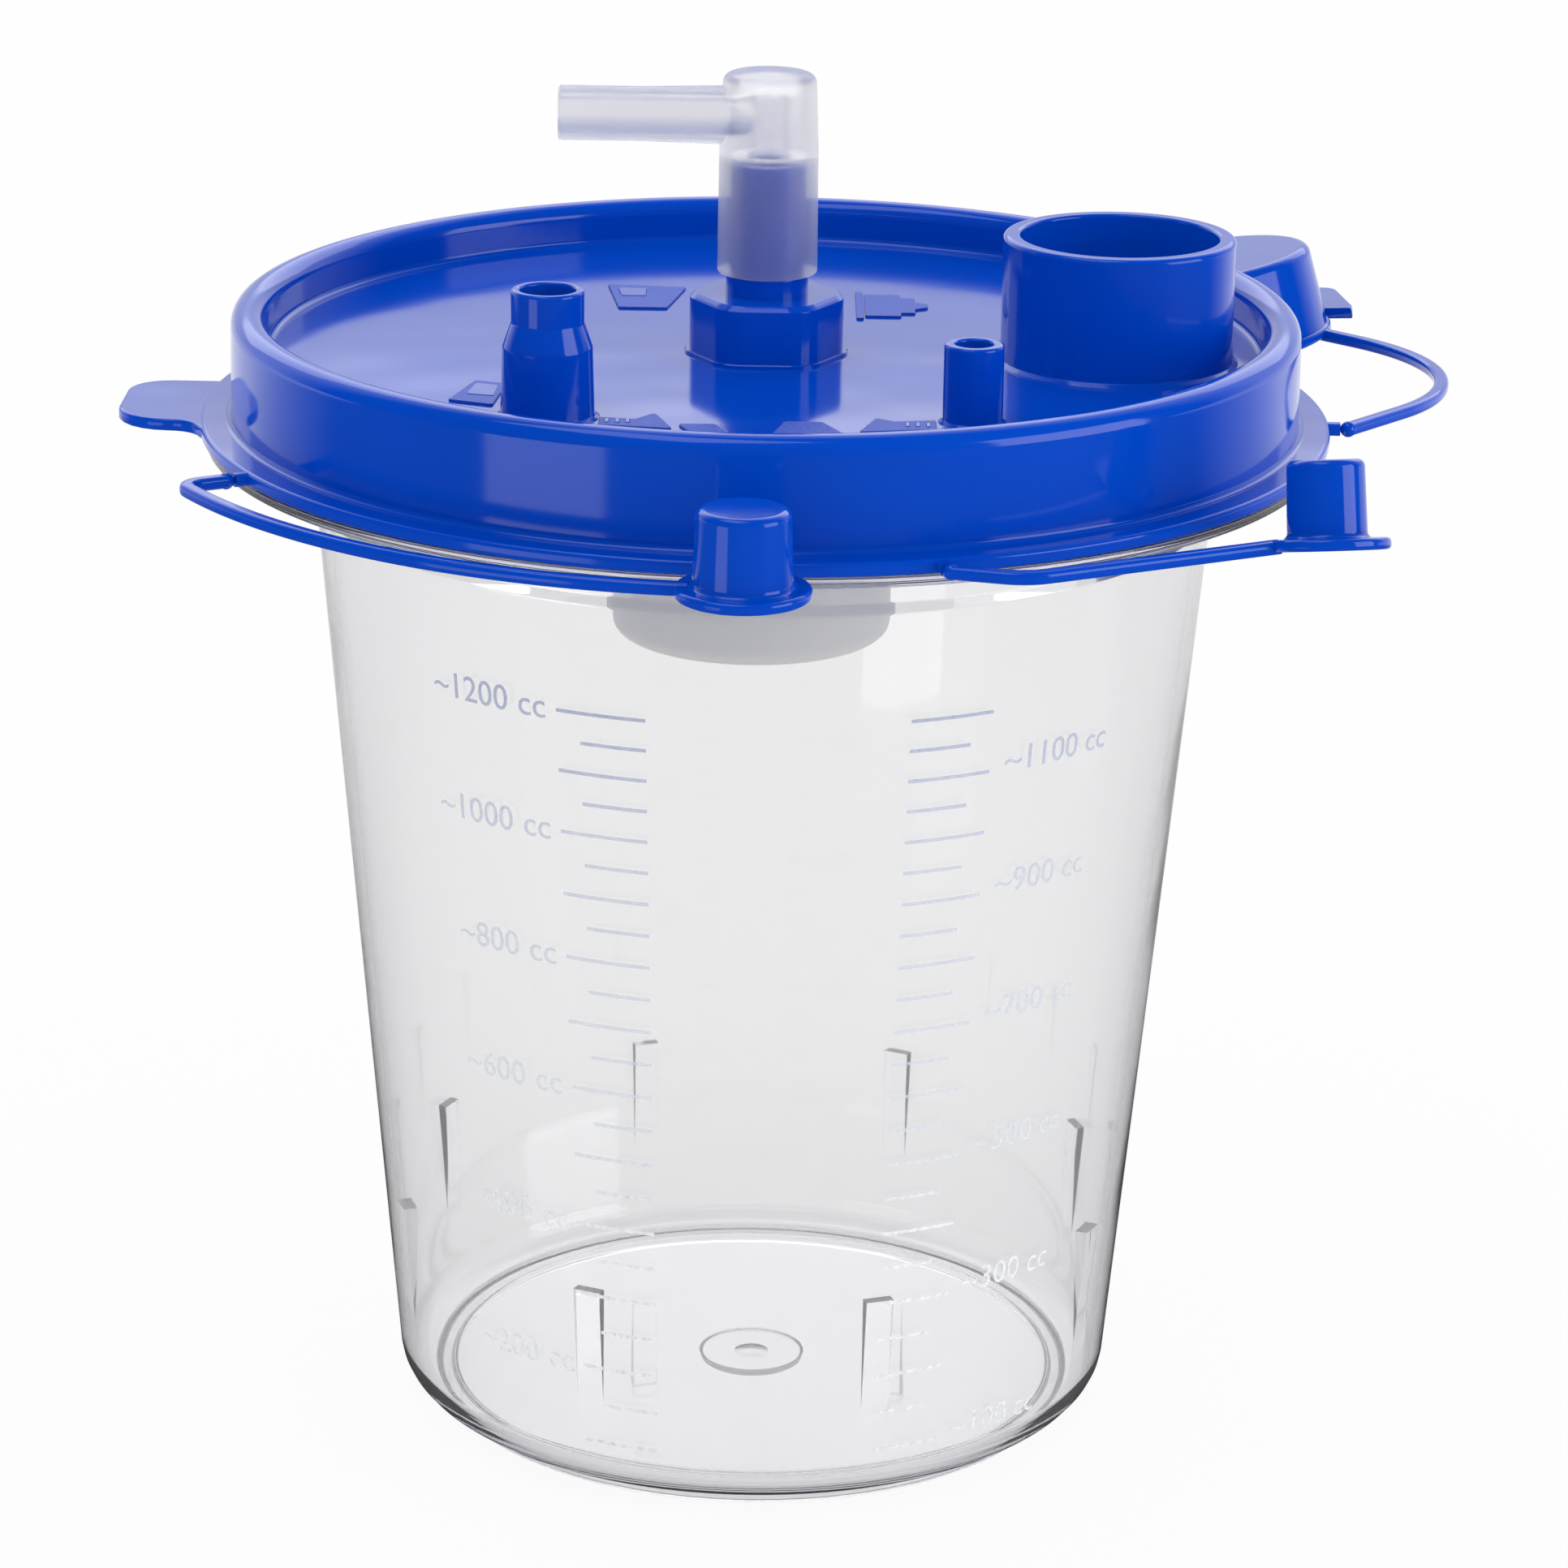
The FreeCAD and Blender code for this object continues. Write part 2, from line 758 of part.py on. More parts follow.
def make_lid():
    """The blue moulding: everything on it is one piece of plastic."""
    body = new_body("lid", at=(0, 0, d.seat_height))
    lid_rim(body)
    lid_tab_and_lugs(body)
    outer = d.housing_radius - d.housing_wall - d.press_gap
    bottom = DECK_UNDER - d.socket_depth
    turned(body, "housing_socket", [
        (outer - d.socket_wall, bottom),
        (outer, bottom),
        (outer, INTO_DECK),
        (outer - d.socket_wall, INTO_DECK),
    ], at=(d.housing_x, d.boss_y, 0))
    lid_vacuum_boss(body)
    lid_ports(body)
    return body


# Float valve and filter: heights run down from the underside of the deck

DECK_HEIGHT = d.seat_height + DECK_UNDER
VALVE_CENTRE = (d.housing_x, d.boss_y, DECK_HEIGHT)
FLOAT_REST = d.housing_floor - d.housing_depth


def make_housing():
    """Drum pressed on the lid's socket ring, with windows, drain holes and float guides."""
    body = new_body("float_housing", at=VALVE_CENTRE)
    inner = d.housing_radius - d.housing_wall
    turned(body, "drum", [
        (0, -d.housing_depth),
        (d.housing_radius, -d.housing_depth, d.housing_round),
        (d.housing_radius, 0),
        (inner, 0),
        (inner, FLOAT_REST),
        (0, FLOAT_REST),
    ])
    near = d.float_radius + d.guide_gap
    sketch = new_sketch(body, "guide_section", "XY_Plane", at=(0, 0, FLOAT_REST),
                        spin=d.guide_first_angle)
    draw_outline(sketch, box_outline(near, inner + d.housing_wall / 2, d.guide_width / 2))
    guide = body.newObject("PartDesign::Pad", "guide")
    guide.Profile = sketch
    guide.Length = value(d.guide_height)
    bind(guide, "Length", d.guide_height)
    repeated(body, "guides", guide, d.guide_count)
    window_top = -d.window_drop
    sketch = new_sketch(body, "window_outline", "XZ_Plane")
    half = d.window_width / 2
    draw_outline(sketch, [
        (-half, window_top - d.window_height),
        (half, window_top - d.window_height),
        (half, window_top),
        (-half, window_top),
    ])
    window = body.newObject("PartDesign::Pocket", "window")
    window.Profile = sketch
    window.Length = value(d.housing_radius + d.overshoot)
    bind(window, "Length", d.housing_radius + d.overshoot)
    repeated(body, "windows", window, d.window_count)
    drain = bored(
        body, "drain", d.drain_radius, -d.housing_depth - d.overshoot,
        FLOAT_REST + d.overshoot, at=(d.drain_circle, 0, 0),
    )
    repeated(body, "drains", drain, d.drain_count)
    return body


def make_float():
    """Hollow float, open below, with the stem that lifts the valve seal."""
    body = new_body("float", at=(d.housing_x, d.boss_y, DECK_HEIGHT + FLOAT_REST))
    inner = d.float_radius - d.float_wall
    crown = d.float_height - d.float_wall
    turned(body, "float_shell", [
        (0, crown),
        (inner, crown),
        (inner, 0),
        (d.float_radius, 0),
        (d.float_radius, d.float_height, d.float_round),
        (d.stem_radius, d.float_height),
        (d.stem_radius, d.float_height + d.stem_length),
        (0, d.float_height + d.stem_length),
    ])
    return body


def make_seal():
    """Rubber disc on the stem that closes the valve seat."""
    level = DECK_HEIGHT + FLOAT_REST + d.float_height + d.stem_length
    body = new_body("valve_seal", at=(d.housing_x, d.boss_y, level))
    turned(body, "seal_disc", [
        (0, 0),
        (d.seal_radius, 0, d.seal_round),
        (d.seal_radius, d.seal_thickness, d.seal_round),
        (0, d.seal_thickness),
    ])
    return body


def make_seat_plate():
    """Plate pressed into the filter chamber, with the valve seat under it."""
    body = new_body("seat_plate", at=(0, d.boss_y, DECK_HEIGHT))
    outer = d.chamber_radius - d.plate_gap
    top = d.chamber_height - d.filter_thickness
    turned(body, "plate", [
        (0, 0),
        (outer, 0),
        (outer, top),
        (outer - d.plate_ring_wall, top),
        (outer - d.plate_ring_wall, d.plate_thickness),
        (0, d.plate_thickness),
    ])
    seat = (d.housing_x, 0, 0)
    rim = d.seat_bore + d.seat_wall
    turned(body, "valve_seat", [
        (0, -d.seat_drop),
        (rim, -d.seat_drop),
        (rim, d.plate_thickness / 2),
        (0, d.plate_thickness / 2),
    ], at=seat)
    bored(
        body, "seat_hole", d.seat_bore, -d.seat_drop - d.overshoot,
        d.plate_thickness + d.overshoot, at=seat,
    )
    return body


def make_filter():
    """Water-repelling disc held between the seat plate's ring and the chamber's roof."""
    level = DECK_HEIGHT + d.chamber_height - d.filter_thickness
    body = new_body("filter_disc", at=(0, d.boss_y, level))
    radius = d.chamber_radius - d.filter_gap
    turned(body, "disc", [
        (0, 0),
        (radius, 0),
        (radius, d.filter_thickness),
        (0, d.filter_thickness),
    ])
    return body


# Elbow: heights run up from the lower edge of its skirt


def make_elbow():
    """Frosted right-angle connector that turns on the vacuum spigot."""
    body = new_body("elbow", at=(0, d.boss_y, d.seat_height + NECK_TOP + d.elbow_lift))
    turned(body, "skirt", [
        (0, 0),
        (d.skirt_radius, 0),
        (d.skirt_radius - d.skirt_draft, d.skirt_height),
        (d.head_radius, d.elbow_height, d.head_round),
        (0, d.elbow_height),
    ])
    sketch = new_sketch(body, "tube_section", "XZ_Plane", at=(0, 0, d.tube_level))
    draw_outline(sketch, [
        (0, 0),
        (-d.tube_length, 0),
        (-d.tube_length, d.tube_radius),
        (-(d.tube_length - d.tube_straight), d.tube_radius),
        (0, d.tube_root_radius),
    ])
    tube = body.newObject("PartDesign::Revolution", "tube")
    tube.Profile = sketch
    tube.ReferenceAxis = (sketch, ["H_Axis"])
    tube.Angle = 360
    socket = d.spigot_radius + d.elbow_fit
    socket_top = d.spigot_length + d.socket_headroom - d.elbow_lift
    passage_top = d.tube_level + d.tube_bore + d.passage_headroom
    turned(body, "socket", [
        (0, -d.overshoot),
        (socket, -d.overshoot),
        (socket, socket_top),
        (d.passage_radius, socket_top),
        (d.passage_radius, passage_top),
        (0, passage_top),
    ], cut=True)
    sketch = new_sketch(body, "tube_bore_section", "XZ_Plane", at=(0, 0, d.tube_level))
    draw_outline(sketch, [
        (0, 0),
        (-d.tube_length - d.overshoot, 0),
        (-d.tube_length - d.overshoot, d.tube_bore),
        (0, d.tube_bore),
    ])
    bore = body.newObject("PartDesign::Groove", "tube_bore")
    bore.Profile = sketch
    bore.ReferenceAxis = (sketch, ["H_Axis"])
    bore.Angle = 360
    body.Tip = bore
    return body


# Tethered caps: each frame stands at the strap's root, with x pointing out from the lid's axis


def strap_body(label, angle):
    level = d.seat_height + d.strap_level
    return new_body(
        label, at=(PIVOT_RADIUS * cosine(angle), PIVOT_RADIUS * sine(angle), level), spin=angle
    )


def strap_section(body, name, heading):
    """Rounded section of the strap, upright across the direction in which it sets off."""
    sketch = new_sketch(body, f"{name}_section", "XZ_Plane", spin=heading - 90)
    wide = d.strap_width / 2
    high = d.strap_thickness / 2
    draw_outline(sketch, [
        (-wide, -high, d.strap_round),
        (wide, -high, d.strap_round),
        (wide, high, d.strap_round),
        (-wide, high, d.strap_round),
    ])
    return sketch


def strap_along(body, name, section, path):
    """The strap swept along its path, with the ball end that it bends at."""
    pipe = body.newObject("PartDesign::AdditivePipe", name)
    pipe.Profile = section
    pipe.Spine = (path, [f"Edge{number}" for number in range(1, len(path.Shape.Edges) + 1)])
    ball = body.newObject("PartDesign::AdditiveSphere", f"{name}_end")
    ball.Radius = value(d.pivot_ball)
    bind(ball, "Radius", d.pivot_ball)
    body.Tip = ball


def cap_section(low, high, height, brim):
    """Half section of a small cap: brim, drafted wall and rounded top."""
    return [
        (0, 0),
        (brim, 0, d.brim_round),
        (brim, d.brim_thickness, d.brim_round),
        (low, d.brim_thickness, d.brim_round),
        (high, height, d.cap_round),
        (0, height),
    ]


def make_patient_cap():
    """Cap on the strap that runs round the front of the flange."""
    body = strap_body("patient_cap", d.patient_strap_angle)
    ring = PIVOT_RADIUS + d.patient_strap_reach
    at = (
        ring * cosine(d.patient_cap_angle) - PIVOT_RADIUS,
        ring * sine(d.patient_cap_angle),
        -d.patient_cap_drop,
    )
    turned(body, "cap", cap_section(
        d.patient_cap_root, d.patient_cap_top, d.patient_cap_height, d.patient_cap_brim
    ), at=at)
    turn = d.patient_strap_turn
    leg = root((ring - turn) * (ring - turn) - turn * turn) - PIVOT_RADIUS
    join = math.atan2(value(turn), value(leg + PIVOT_RADIUS))
    reach = d.patient_cap_brim - d.strap_width / 2
    last = d.patient_cap_angle - reach / ring * (180 / math.pi)
    centre = Vector(-value(PIVOT_RADIUS), 0, 0)
    stop = math.radians(value(last))
    path = new_sketch(body, "strap_path", "XY_Plane")
    drawing = Drawing(path)
    bend_middle = Vector(value(leg), value(turn), 0)
    line = drawing.add(Part.LineSegment(Vector(0, 0, 0), Vector(value(leg), 0, 0)))
    bend = drawing.add(Part.ArcOfCircle(
        Part.Circle(bend_middle, Vector(0, 0, 1), value(turn)), -math.pi / 2, join
    ))
    arc = drawing.add(Part.ArcOfCircle(
        Part.Circle(centre, Vector(0, 0, 1), value(ring)), join, stop
    ))
    drawing.rule("Coincident", line, 1, -1, 1)
    drawing.rule("PointOnObject", line, 2, -1)
    drawing.rule("Tangent", line, 2, bend, 1)
    drawing.rule("Tangent", bend, 2, arc, 1)
    drawing.measure(("Radius", bend), turn)
    drawing.measure(("Radius", arc), ring)
    drawing.hold(arc, 3, -PIVOT_RADIUS, 0)
    drawing.measure(("DistanceY", -1, 1, arc, 2), ring * sine(last))
    drawing.finish()
    doc.recompute()
    strap_along(body, "strap", strap_section(body, "strap", as_size(0)), path)
    bored(
        body, "cap_hollow", d.patient_cap_inner, -d.overshoot,
        d.patient_cap_height - d.cap_top_wall, at=at,
    )
    return body


def make_tandem_cap():
    """Cap on the straight strap at the front right; it leans back from the camera's side."""
    body = strap_body("tandem_cap", d.tandem_strap_angle)
    at = (d.tandem_cap_out, d.tandem_cap_along, -d.tandem_cap_drop)
    lean = (d.tandem_cap_lean_way, d.tandem_cap_lean)
    turned(body, "cap", cap_section(
        d.tandem_cap_root, d.tandem_cap_top, d.tandem_cap_height, d.tandem_cap_brim
    ), at=at, lean=lean)
    path = new_sketch(body, "strap_path", "XY_Plane")
    reach = d.tandem_cap_brim - d.strap_width / 2
    draw_outline(path, [
        (0, 0),
        (d.tandem_strap_knee_out, d.tandem_strap_knee_along, d.tandem_strap_turn),
        (d.tandem_cap_out, d.tandem_cap_along - reach),
    ], closed=False)
    doc.recompute()
    heading = math.degrees(
        math.atan2(value(d.tandem_strap_knee_along), value(d.tandem_strap_knee_out))
    )
    strap_along(body, "strap", strap_section(body, "strap", as_size(heading)), path)
    bored(
        body, "cap_hollow", d.tandem_cap_inner, -d.overshoot,
        d.tandem_cap_height - d.cap_top_wall, at=at, lean=lean,
    )
    return body


def make_ortho_cap():
    """Large cap on the looped strap at the back right, with a pointed pull tab at its base."""
    body = strap_body("ortho_cap", d.ortho_strap_angle)
    at = (d.ortho_cap_out, d.ortho_cap_along, -d.ortho_cap_drop)
    lean = (d.ortho_cap_lean_way, d.ortho_cap_lean)
    lip = d.ortho_cap_root + d.ortho_cap_lip
    turned(body, "cap", [
        (0, 0),
        (lip, 0, d.brim_round),
        (lip, d.ortho_cap_lip_height, d.brim_round),
        (d.ortho_cap_root, d.ortho_cap_lip_height),
        (d.ortho_cap_top, d.ortho_cap_height, d.ortho_cap_round),
        (0, d.ortho_cap_height),
    ], at=at, lean=lean)
    inner = d.ortho_cap_root - d.ortho_cap_wall
    way = d.pull_tab_way
    half = d.pull_tab_half_width
    shoulder = d.pull_tab_shoulder
    bend = d.pull_tab_shoulder_round
    near = d.pull_tab_root

    def tab_corner(out, across, *rounding):
        x = out * cosine(way) - across * sine(way)
        y = out * sine(way) + across * cosine(way)
        return (x, y, *rounding)

    raised(body, "pull_tab", [
        tab_corner(near, -d.ortho_cap_root),
        tab_corner(shoulder, -half, bend),
        tab_corner(d.pull_tab_reach, as_size(0), d.pull_tab_round),
        tab_corner(shoulder, half, bend),
        tab_corner(near, d.ortho_cap_root),
    ], d.pull_tab_thickness, at=at, lean=lean)
    chord = math.degrees(math.atan2(value(d.ortho_cap_along), value(d.ortho_cap_out)))
    plane_lean = (as_size(chord), d.ortho_strap_tilt)
    path = new_sketch(body, "strap_path", "XY_Plane", lean=plane_lean)
    first = d.ortho_strap_heading
    second = first + d.ortho_strap_turn
    run = d.ortho_strap_first_run
    bend = d.ortho_strap_bend
    start = (run * cosine(first), run * sine(first))
    middle = (start[0] - bend * sine(first), start[1] + bend * cosine(first))
    stop = (middle[0] + bend * sine(second), middle[1] - bend * cosine(second))
    last = (
        stop[0] + d.ortho_strap_last_run * cosine(second),
        stop[1] + d.ortho_strap_last_run * sine(second),
    )
    drawing = Drawing(path)
    circle = Part.Circle(flat(middle), Vector(0, 0, 1), value(bend))
    angles = [math.radians(value(heading) - 90) for heading in (first, second)]
    line = drawing.add(Part.LineSegment(Vector(0, 0, 0), flat(start)))
    arc = drawing.add(Part.ArcOfCircle(circle, *angles))
    end = drawing.add(Part.LineSegment(flat(stop), flat(last)))
    drawing.rule("Coincident", line, 1, -1, 1)
    drawing.rule("Tangent", line, 2, arc, 1)
    drawing.rule("Tangent", arc, 2, end, 1)
    drawing.hold(line, 2, *start)
    drawing.hold(end, 2, *last)
    drawing.measure(("Radius", arc), bend)
    drawing.finish()
    doc.recompute()
    strap_along(body, "strap", strap_section(body, "strap", first), path)
    roof = d.ortho_cap_height - d.cap_top_wall
    turned(body, "cap_hollow", [
        (0, -d.overshoot),
        (inner, -d.overshoot),
        (inner, 0),
        (d.ortho_cap_top - d.ortho_cap_wall, roof, d.cap_round),
        (0, roof),
    ], at=at, lean=lean, cut=True)
    return body


# Build, check and write


def check_document():
    """Stop if any object failed or any sub-part has no sound shape."""
    for thing in doc.Objects:
        if "Invalid" in thing.State or "Error" in thing.State:
            raise RuntimeError(f"{thing.Name} failed: {thing.State}")


def main():
    makers = (
        make_cup, make_lid, make_elbow, make_filter, make_seat_plate, make_housing, make_float,
        make_seal, make_ortho_cap, make_patient_cap, make_tandem_cap,
    )
    bodies = []
    for maker in makers:
        bodies.append(maker())
        doc.recompute()
    check_document()
    os.makedirs("parts", exist_ok=True)
    for body in bodies:
        shape = body.Shape
        if shape.isNull() or not shape.isValid() or len(shape.Solids) != 1:
            raise RuntimeError(f"{body.Label} has no sound shape")
        print(f"{body.Label}: volume {shape.Volume:.1f} mm3, {len(shape.Faces)} faces")
        shape.exportStep(f"parts/{body.Label}.step")


main()
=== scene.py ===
# %% [markdown]
# # A suction canister in clear, blue and frosted plastic
#
# The real object stands on a hospital ward and collects fluid under vacuum. It has a clear
# tapered cup with a printed volume scale, a glossy blue lid that is pushed over the cup's rim, a
# frosted elbow that turns on the lid, and three blue caps on thin straps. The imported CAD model
# is loaded first. It stays as the frame: its bodies carry every piece made here.

# %% Load the frame
import math

import bmesh
import bpy
import numpy as np
from mathutils import Matrix, Vector


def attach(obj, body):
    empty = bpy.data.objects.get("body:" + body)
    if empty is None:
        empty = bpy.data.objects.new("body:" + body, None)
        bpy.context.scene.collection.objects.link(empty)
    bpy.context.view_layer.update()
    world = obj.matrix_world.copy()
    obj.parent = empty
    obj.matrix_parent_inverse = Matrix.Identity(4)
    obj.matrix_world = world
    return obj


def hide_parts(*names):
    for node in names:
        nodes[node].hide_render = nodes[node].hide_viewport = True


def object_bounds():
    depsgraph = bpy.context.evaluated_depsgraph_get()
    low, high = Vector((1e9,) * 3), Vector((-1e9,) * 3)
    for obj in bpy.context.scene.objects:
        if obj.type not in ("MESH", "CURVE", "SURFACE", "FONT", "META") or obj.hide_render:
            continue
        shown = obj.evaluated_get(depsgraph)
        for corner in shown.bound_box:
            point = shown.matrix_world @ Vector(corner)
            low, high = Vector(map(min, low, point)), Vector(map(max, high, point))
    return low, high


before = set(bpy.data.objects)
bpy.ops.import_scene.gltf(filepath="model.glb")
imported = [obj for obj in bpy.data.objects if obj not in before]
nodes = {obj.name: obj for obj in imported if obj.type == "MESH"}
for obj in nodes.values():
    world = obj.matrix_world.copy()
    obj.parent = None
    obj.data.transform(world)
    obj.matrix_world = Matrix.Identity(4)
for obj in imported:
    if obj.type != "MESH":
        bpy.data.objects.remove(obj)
cad_low, cad_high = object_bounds()
MM = 0.001
print("nodes:", sorted(nodes))
cad_size = [round((high - low) / MM, 1) for low, high in zip(cad_low, cad_high)]
print("CAD box in mm:", cad_size)

# %% [markdown]
# ## The camera
#
# The photograph looks down on the lid by about 18 degrees with a long lens, so the ellipses of
# the rim are shallow and the cup's sides run nearly straight. The camera's matrix is built from
# its pitch, yaw and roll, which keeps it exact.

# %% Camera
CAMERA_PLACE = np.array([0.0, -746.06, 338.29])
PITCH, YAW, ROLL = math.radians(18.193), math.radians(0.2725), math.radians(0.9204)
LENS, SENSOR_WIDTH = 123.38, 36


def camera_axes():
    """Forward from pitch and yaw; right is level; both others are then rolled about forward."""
    forward = np.array([
        math.sin(YAW) * math.cos(PITCH), math.cos(YAW) * math.cos(PITCH), -math.sin(PITCH)
    ])
    right = np.cross(forward, [0, 0, 1])
    right /= np.linalg.norm(right)
    up = np.cross(right, forward)
    rolled_right = math.cos(ROLL) * right + math.sin(ROLL) * up
    rolled_up = math.cos(ROLL) * up - math.sin(ROLL) * right
    return rolled_right, rolled_up, forward


right, up, forward = camera_axes()
camera = bpy.data.objects.new("camera", bpy.data.cameras.new("camera"))
bpy.context.scene.collection.objects.link(camera)
camera.matrix_world = Matrix((
    (right[0], up[0], -forward[0], CAMERA_PLACE[0] * MM),
    (right[1], up[1], -forward[1], CAMERA_PLACE[1] * MM),
    (right[2], up[2], -forward[2], CAMERA_PLACE[2] * MM),
    (0, 0, 0, 1),
))
camera.data.lens, camera.data.sensor_width = LENS, SENSOR_WIDTH
bpy.context.scene.camera = camera
print("camera looks along", np.round(forward, 3))

# %% [markdown]
# ## Colour and node helpers
#
# Colours are noted as hex codes, as on a paint chart, and shaders want linear light. One small
# function turns one into the other. A second one adds a node, fills its inputs and links it.

# %% Helpers for materials


def linear(code):
    """Each sRGB channel c becomes c / 12.92 near black, else ((c + 0.055) / 1.055) ^ 2.4."""
    channels = [int(code[start:start + 2], 16) / 255 for start in (1, 3, 5)]
    light = [c / 12.92 if c <= 0.04045 else ((c + 0.055) / 1.055) ** 2.4 for c in channels]
    return (*light, 1.0)


def add_node(tree, kind, inputs=None, **settings):
    """A node with its properties set; an input given as a socket is linked, else it is set."""
    node = tree.nodes.new(kind)
    for name, setting in settings.items():
        setattr(node, name, setting)
    for name, amount in (inputs or {}).items():
        if isinstance(amount, bpy.types.NodeSocket):
            tree.links.new(amount, node.inputs[name])
        else:
            node.inputs[name].default_value = amount
    return node


def new_material(name):
    """An empty node tree with its output, ready for a shader."""
    material = bpy.data.materials.new(name)
    material.use_nodes = True
    material.node_tree.nodes.clear()
    output = add_node(material.node_tree, "ShaderNodeOutputMaterial")
    return material, material.node_tree, output


# %% [markdown]
# ## The stage
#
# The photograph is a cut-out on near white. The world and the floor are white to the camera
# and to what is seen through the clear cup. Reflections see the same white at the back, but a
# dark room on the photographer's side, which keeps the blue deep. Other rays meet a plain
# diffuse floor, which keeps the object's shadow. Softboxes stand outside the view.

# %% Stage
scene = bpy.context.scene
scene.view_settings.view_transform = "Standard"
BACKDROP = linear("#FEFEFE")
WORLD_LIGHT = 0.86
FLOOR_WHITENESS, FLOOR_THROUGH_PLASTIC = 0.94, 0.68
ROOM_DARK, SKY_MIRRORED = 0.0, 0.84
SKY_RISE, FLOOR_RISE = (0.25, 0.6), (0.1, 0.5)
FLOOR_HALF = 12.0


def seen_directly(tree):
    """1 for rays from the camera, from a reflection or through clear plastic, else 0."""
    path = add_node(tree, "ShaderNodeLightPath")
    mirrored = add_node(tree, "ShaderNodeMath", {
        0: path.outputs["Is Camera Ray"], 1: path.outputs["Is Glossy Ray"],
    }, operation="MAXIMUM")
    return add_node(tree, "ShaderNodeMath", {
        0: mirrored.outputs[0], 1: path.outputs["Is Transmission Ray"],
    }, operation="MAXIMUM").outputs[0]


def room_strength(tree, place, start, end, brightest):
    """Strength 1 for plain sight; a reflection sees dark in front, rising over y to brightest."""
    depth = add_node(tree, "ShaderNodeSeparateXYZ", {"Vector": place})
    rise = add_node(tree, "ShaderNodeMapRange", {
        "Value": depth.outputs["Y"], "From Min": start, "From Max": end,
        "To Min": ROOM_DARK, "To Max": brightest,
    })
    path = add_node(tree, "ShaderNodeLightPath")
    mirrored = add_node(tree, "ShaderNodeMath", {
        0: path.outputs["Is Glossy Ray"], 1: path.outputs["Is Transmission Ray"],
    }, operation="SUBTRACT", use_clamp=True)
    mixed = add_node(tree, "ShaderNodeMix", {
        "Factor": mirrored.outputs[0], "A": 1.0, "B": rise.outputs["Result"],
    })
    return mixed.outputs["Result"]


def make_world():
    """Plain light for the object, white for what is seen directly."""
    world = bpy.data.worlds.new("studio")
    world.use_nodes = True
    tree = world.node_tree
    tree.nodes.clear()
    place = add_node(tree, "ShaderNodeTexCoord")
    lit = add_node(tree, "ShaderNodeBackground", {"Color": BACKDROP, "Strength": WORLD_LIGHT})
    shown = add_node(tree, "ShaderNodeBackground", {
        "Color": BACKDROP,
        "Strength": room_strength(tree, place.outputs["Generated"], *SKY_RISE, SKY_MIRRORED),
    })
    both = add_node(tree, "ShaderNodeMixShader", {
        0: seen_directly(tree), 1: lit.outputs[0], 2: shown.outputs[0],
    })
    add_node(tree, "ShaderNodeOutputWorld", {"Surface": both.outputs[0]})
    scene.world = world


def make_floor():
    """A wide plane under the foot ring, in metres."""
    material, tree, output = new_material("white_studio_floor")
    diffuse = add_node(tree, "ShaderNodeBsdfDiffuse", {"Color": linear("#F2F2F2")})
    place = add_node(tree, "ShaderNodeTexCoord")
    white = add_node(tree, "ShaderNodeEmission", {
        "Color": BACKDROP,
        "Strength": room_strength(tree, place.outputs["Object"], *FLOOR_RISE, 1.0),
    })
    path = add_node(tree, "ShaderNodeLightPath")
    whiteness = add_node(tree, "ShaderNodeMix", {
        "Factor": path.outputs["Is Transmission Ray"],
        "A": FLOOR_WHITENESS, "B": FLOOR_THROUGH_PLASTIC,
    })
    share = add_node(tree, "ShaderNodeMath", {
        0: seen_directly(tree), 1: whiteness.outputs["Result"],
    }, operation="MULTIPLY")
    both = add_node(tree, "ShaderNodeMixShader", {
        0: share.outputs[0], 1: diffuse.outputs[0], 2: white.outputs[0],
    })
    tree.links.new(both.outputs[0], output.inputs["Surface"])
    half = FLOOR_HALF
    mesh = bpy.data.meshes.new("floor")
    mesh.from_pydata([(-half, -half, 0), (half, -half, 0), (half, half, 0), (-half, half, 0)],
                     [], [(0, 1, 2, 3)])
    mesh.materials.append(material)
    floor = bpy.data.objects.new("floor", mesh)
    scene.collection.objects.link(floor)


def softbox(name, place, target, size, watts):
    """A rectangular area lamp at a place in metres that faces a target."""
    lamp = bpy.data.lights.new(name, "AREA")
    lamp.shape = "RECTANGLE"
    lamp.size, lamp.size_y = size
    lamp.energy = watts
    holder = bpy.data.objects.new(name, lamp)
    holder.location = place
    aim = Vector(target) - Vector(place)
    holder.rotation_euler = aim.to_track_quat("-Z", "Y").to_euler()
    scene.collection.objects.link(holder)


make_world()
make_floor()
softbox("back_softbox", (0.0, 1.5, 1.0), (0, 0, 0.15), (2.6, 0.9), 8)
softbox("left_softbox", (-0.40, -0.42, 0.03), (0, -0.05, 0.14), (0.26, 0.12), 0.12)
softbox("right_softbox", (1.1, -0.5, 0.3), (0, 0, 0.12), (0.8, 0.9), 5)
softbox("top_softbox", (-0.3, -0.2, 1.4), (0, 0, 0.1), (0.9, 0.6), 2.5)

# %% [markdown]
# ## Clear polystyrene
#
# The cup is injection-moulded general purpose polystyrene: hard, brilliant, with an index of
# about 1.59. A blueing dye hides its yellow cast, so long paths through it, along rims and
# ribs, look faintly violet. Absorption inside the solid gives just that. A small diffuse share
# stands for the haze of a thin, cheaply moulded wall.

# %% Material of the cup


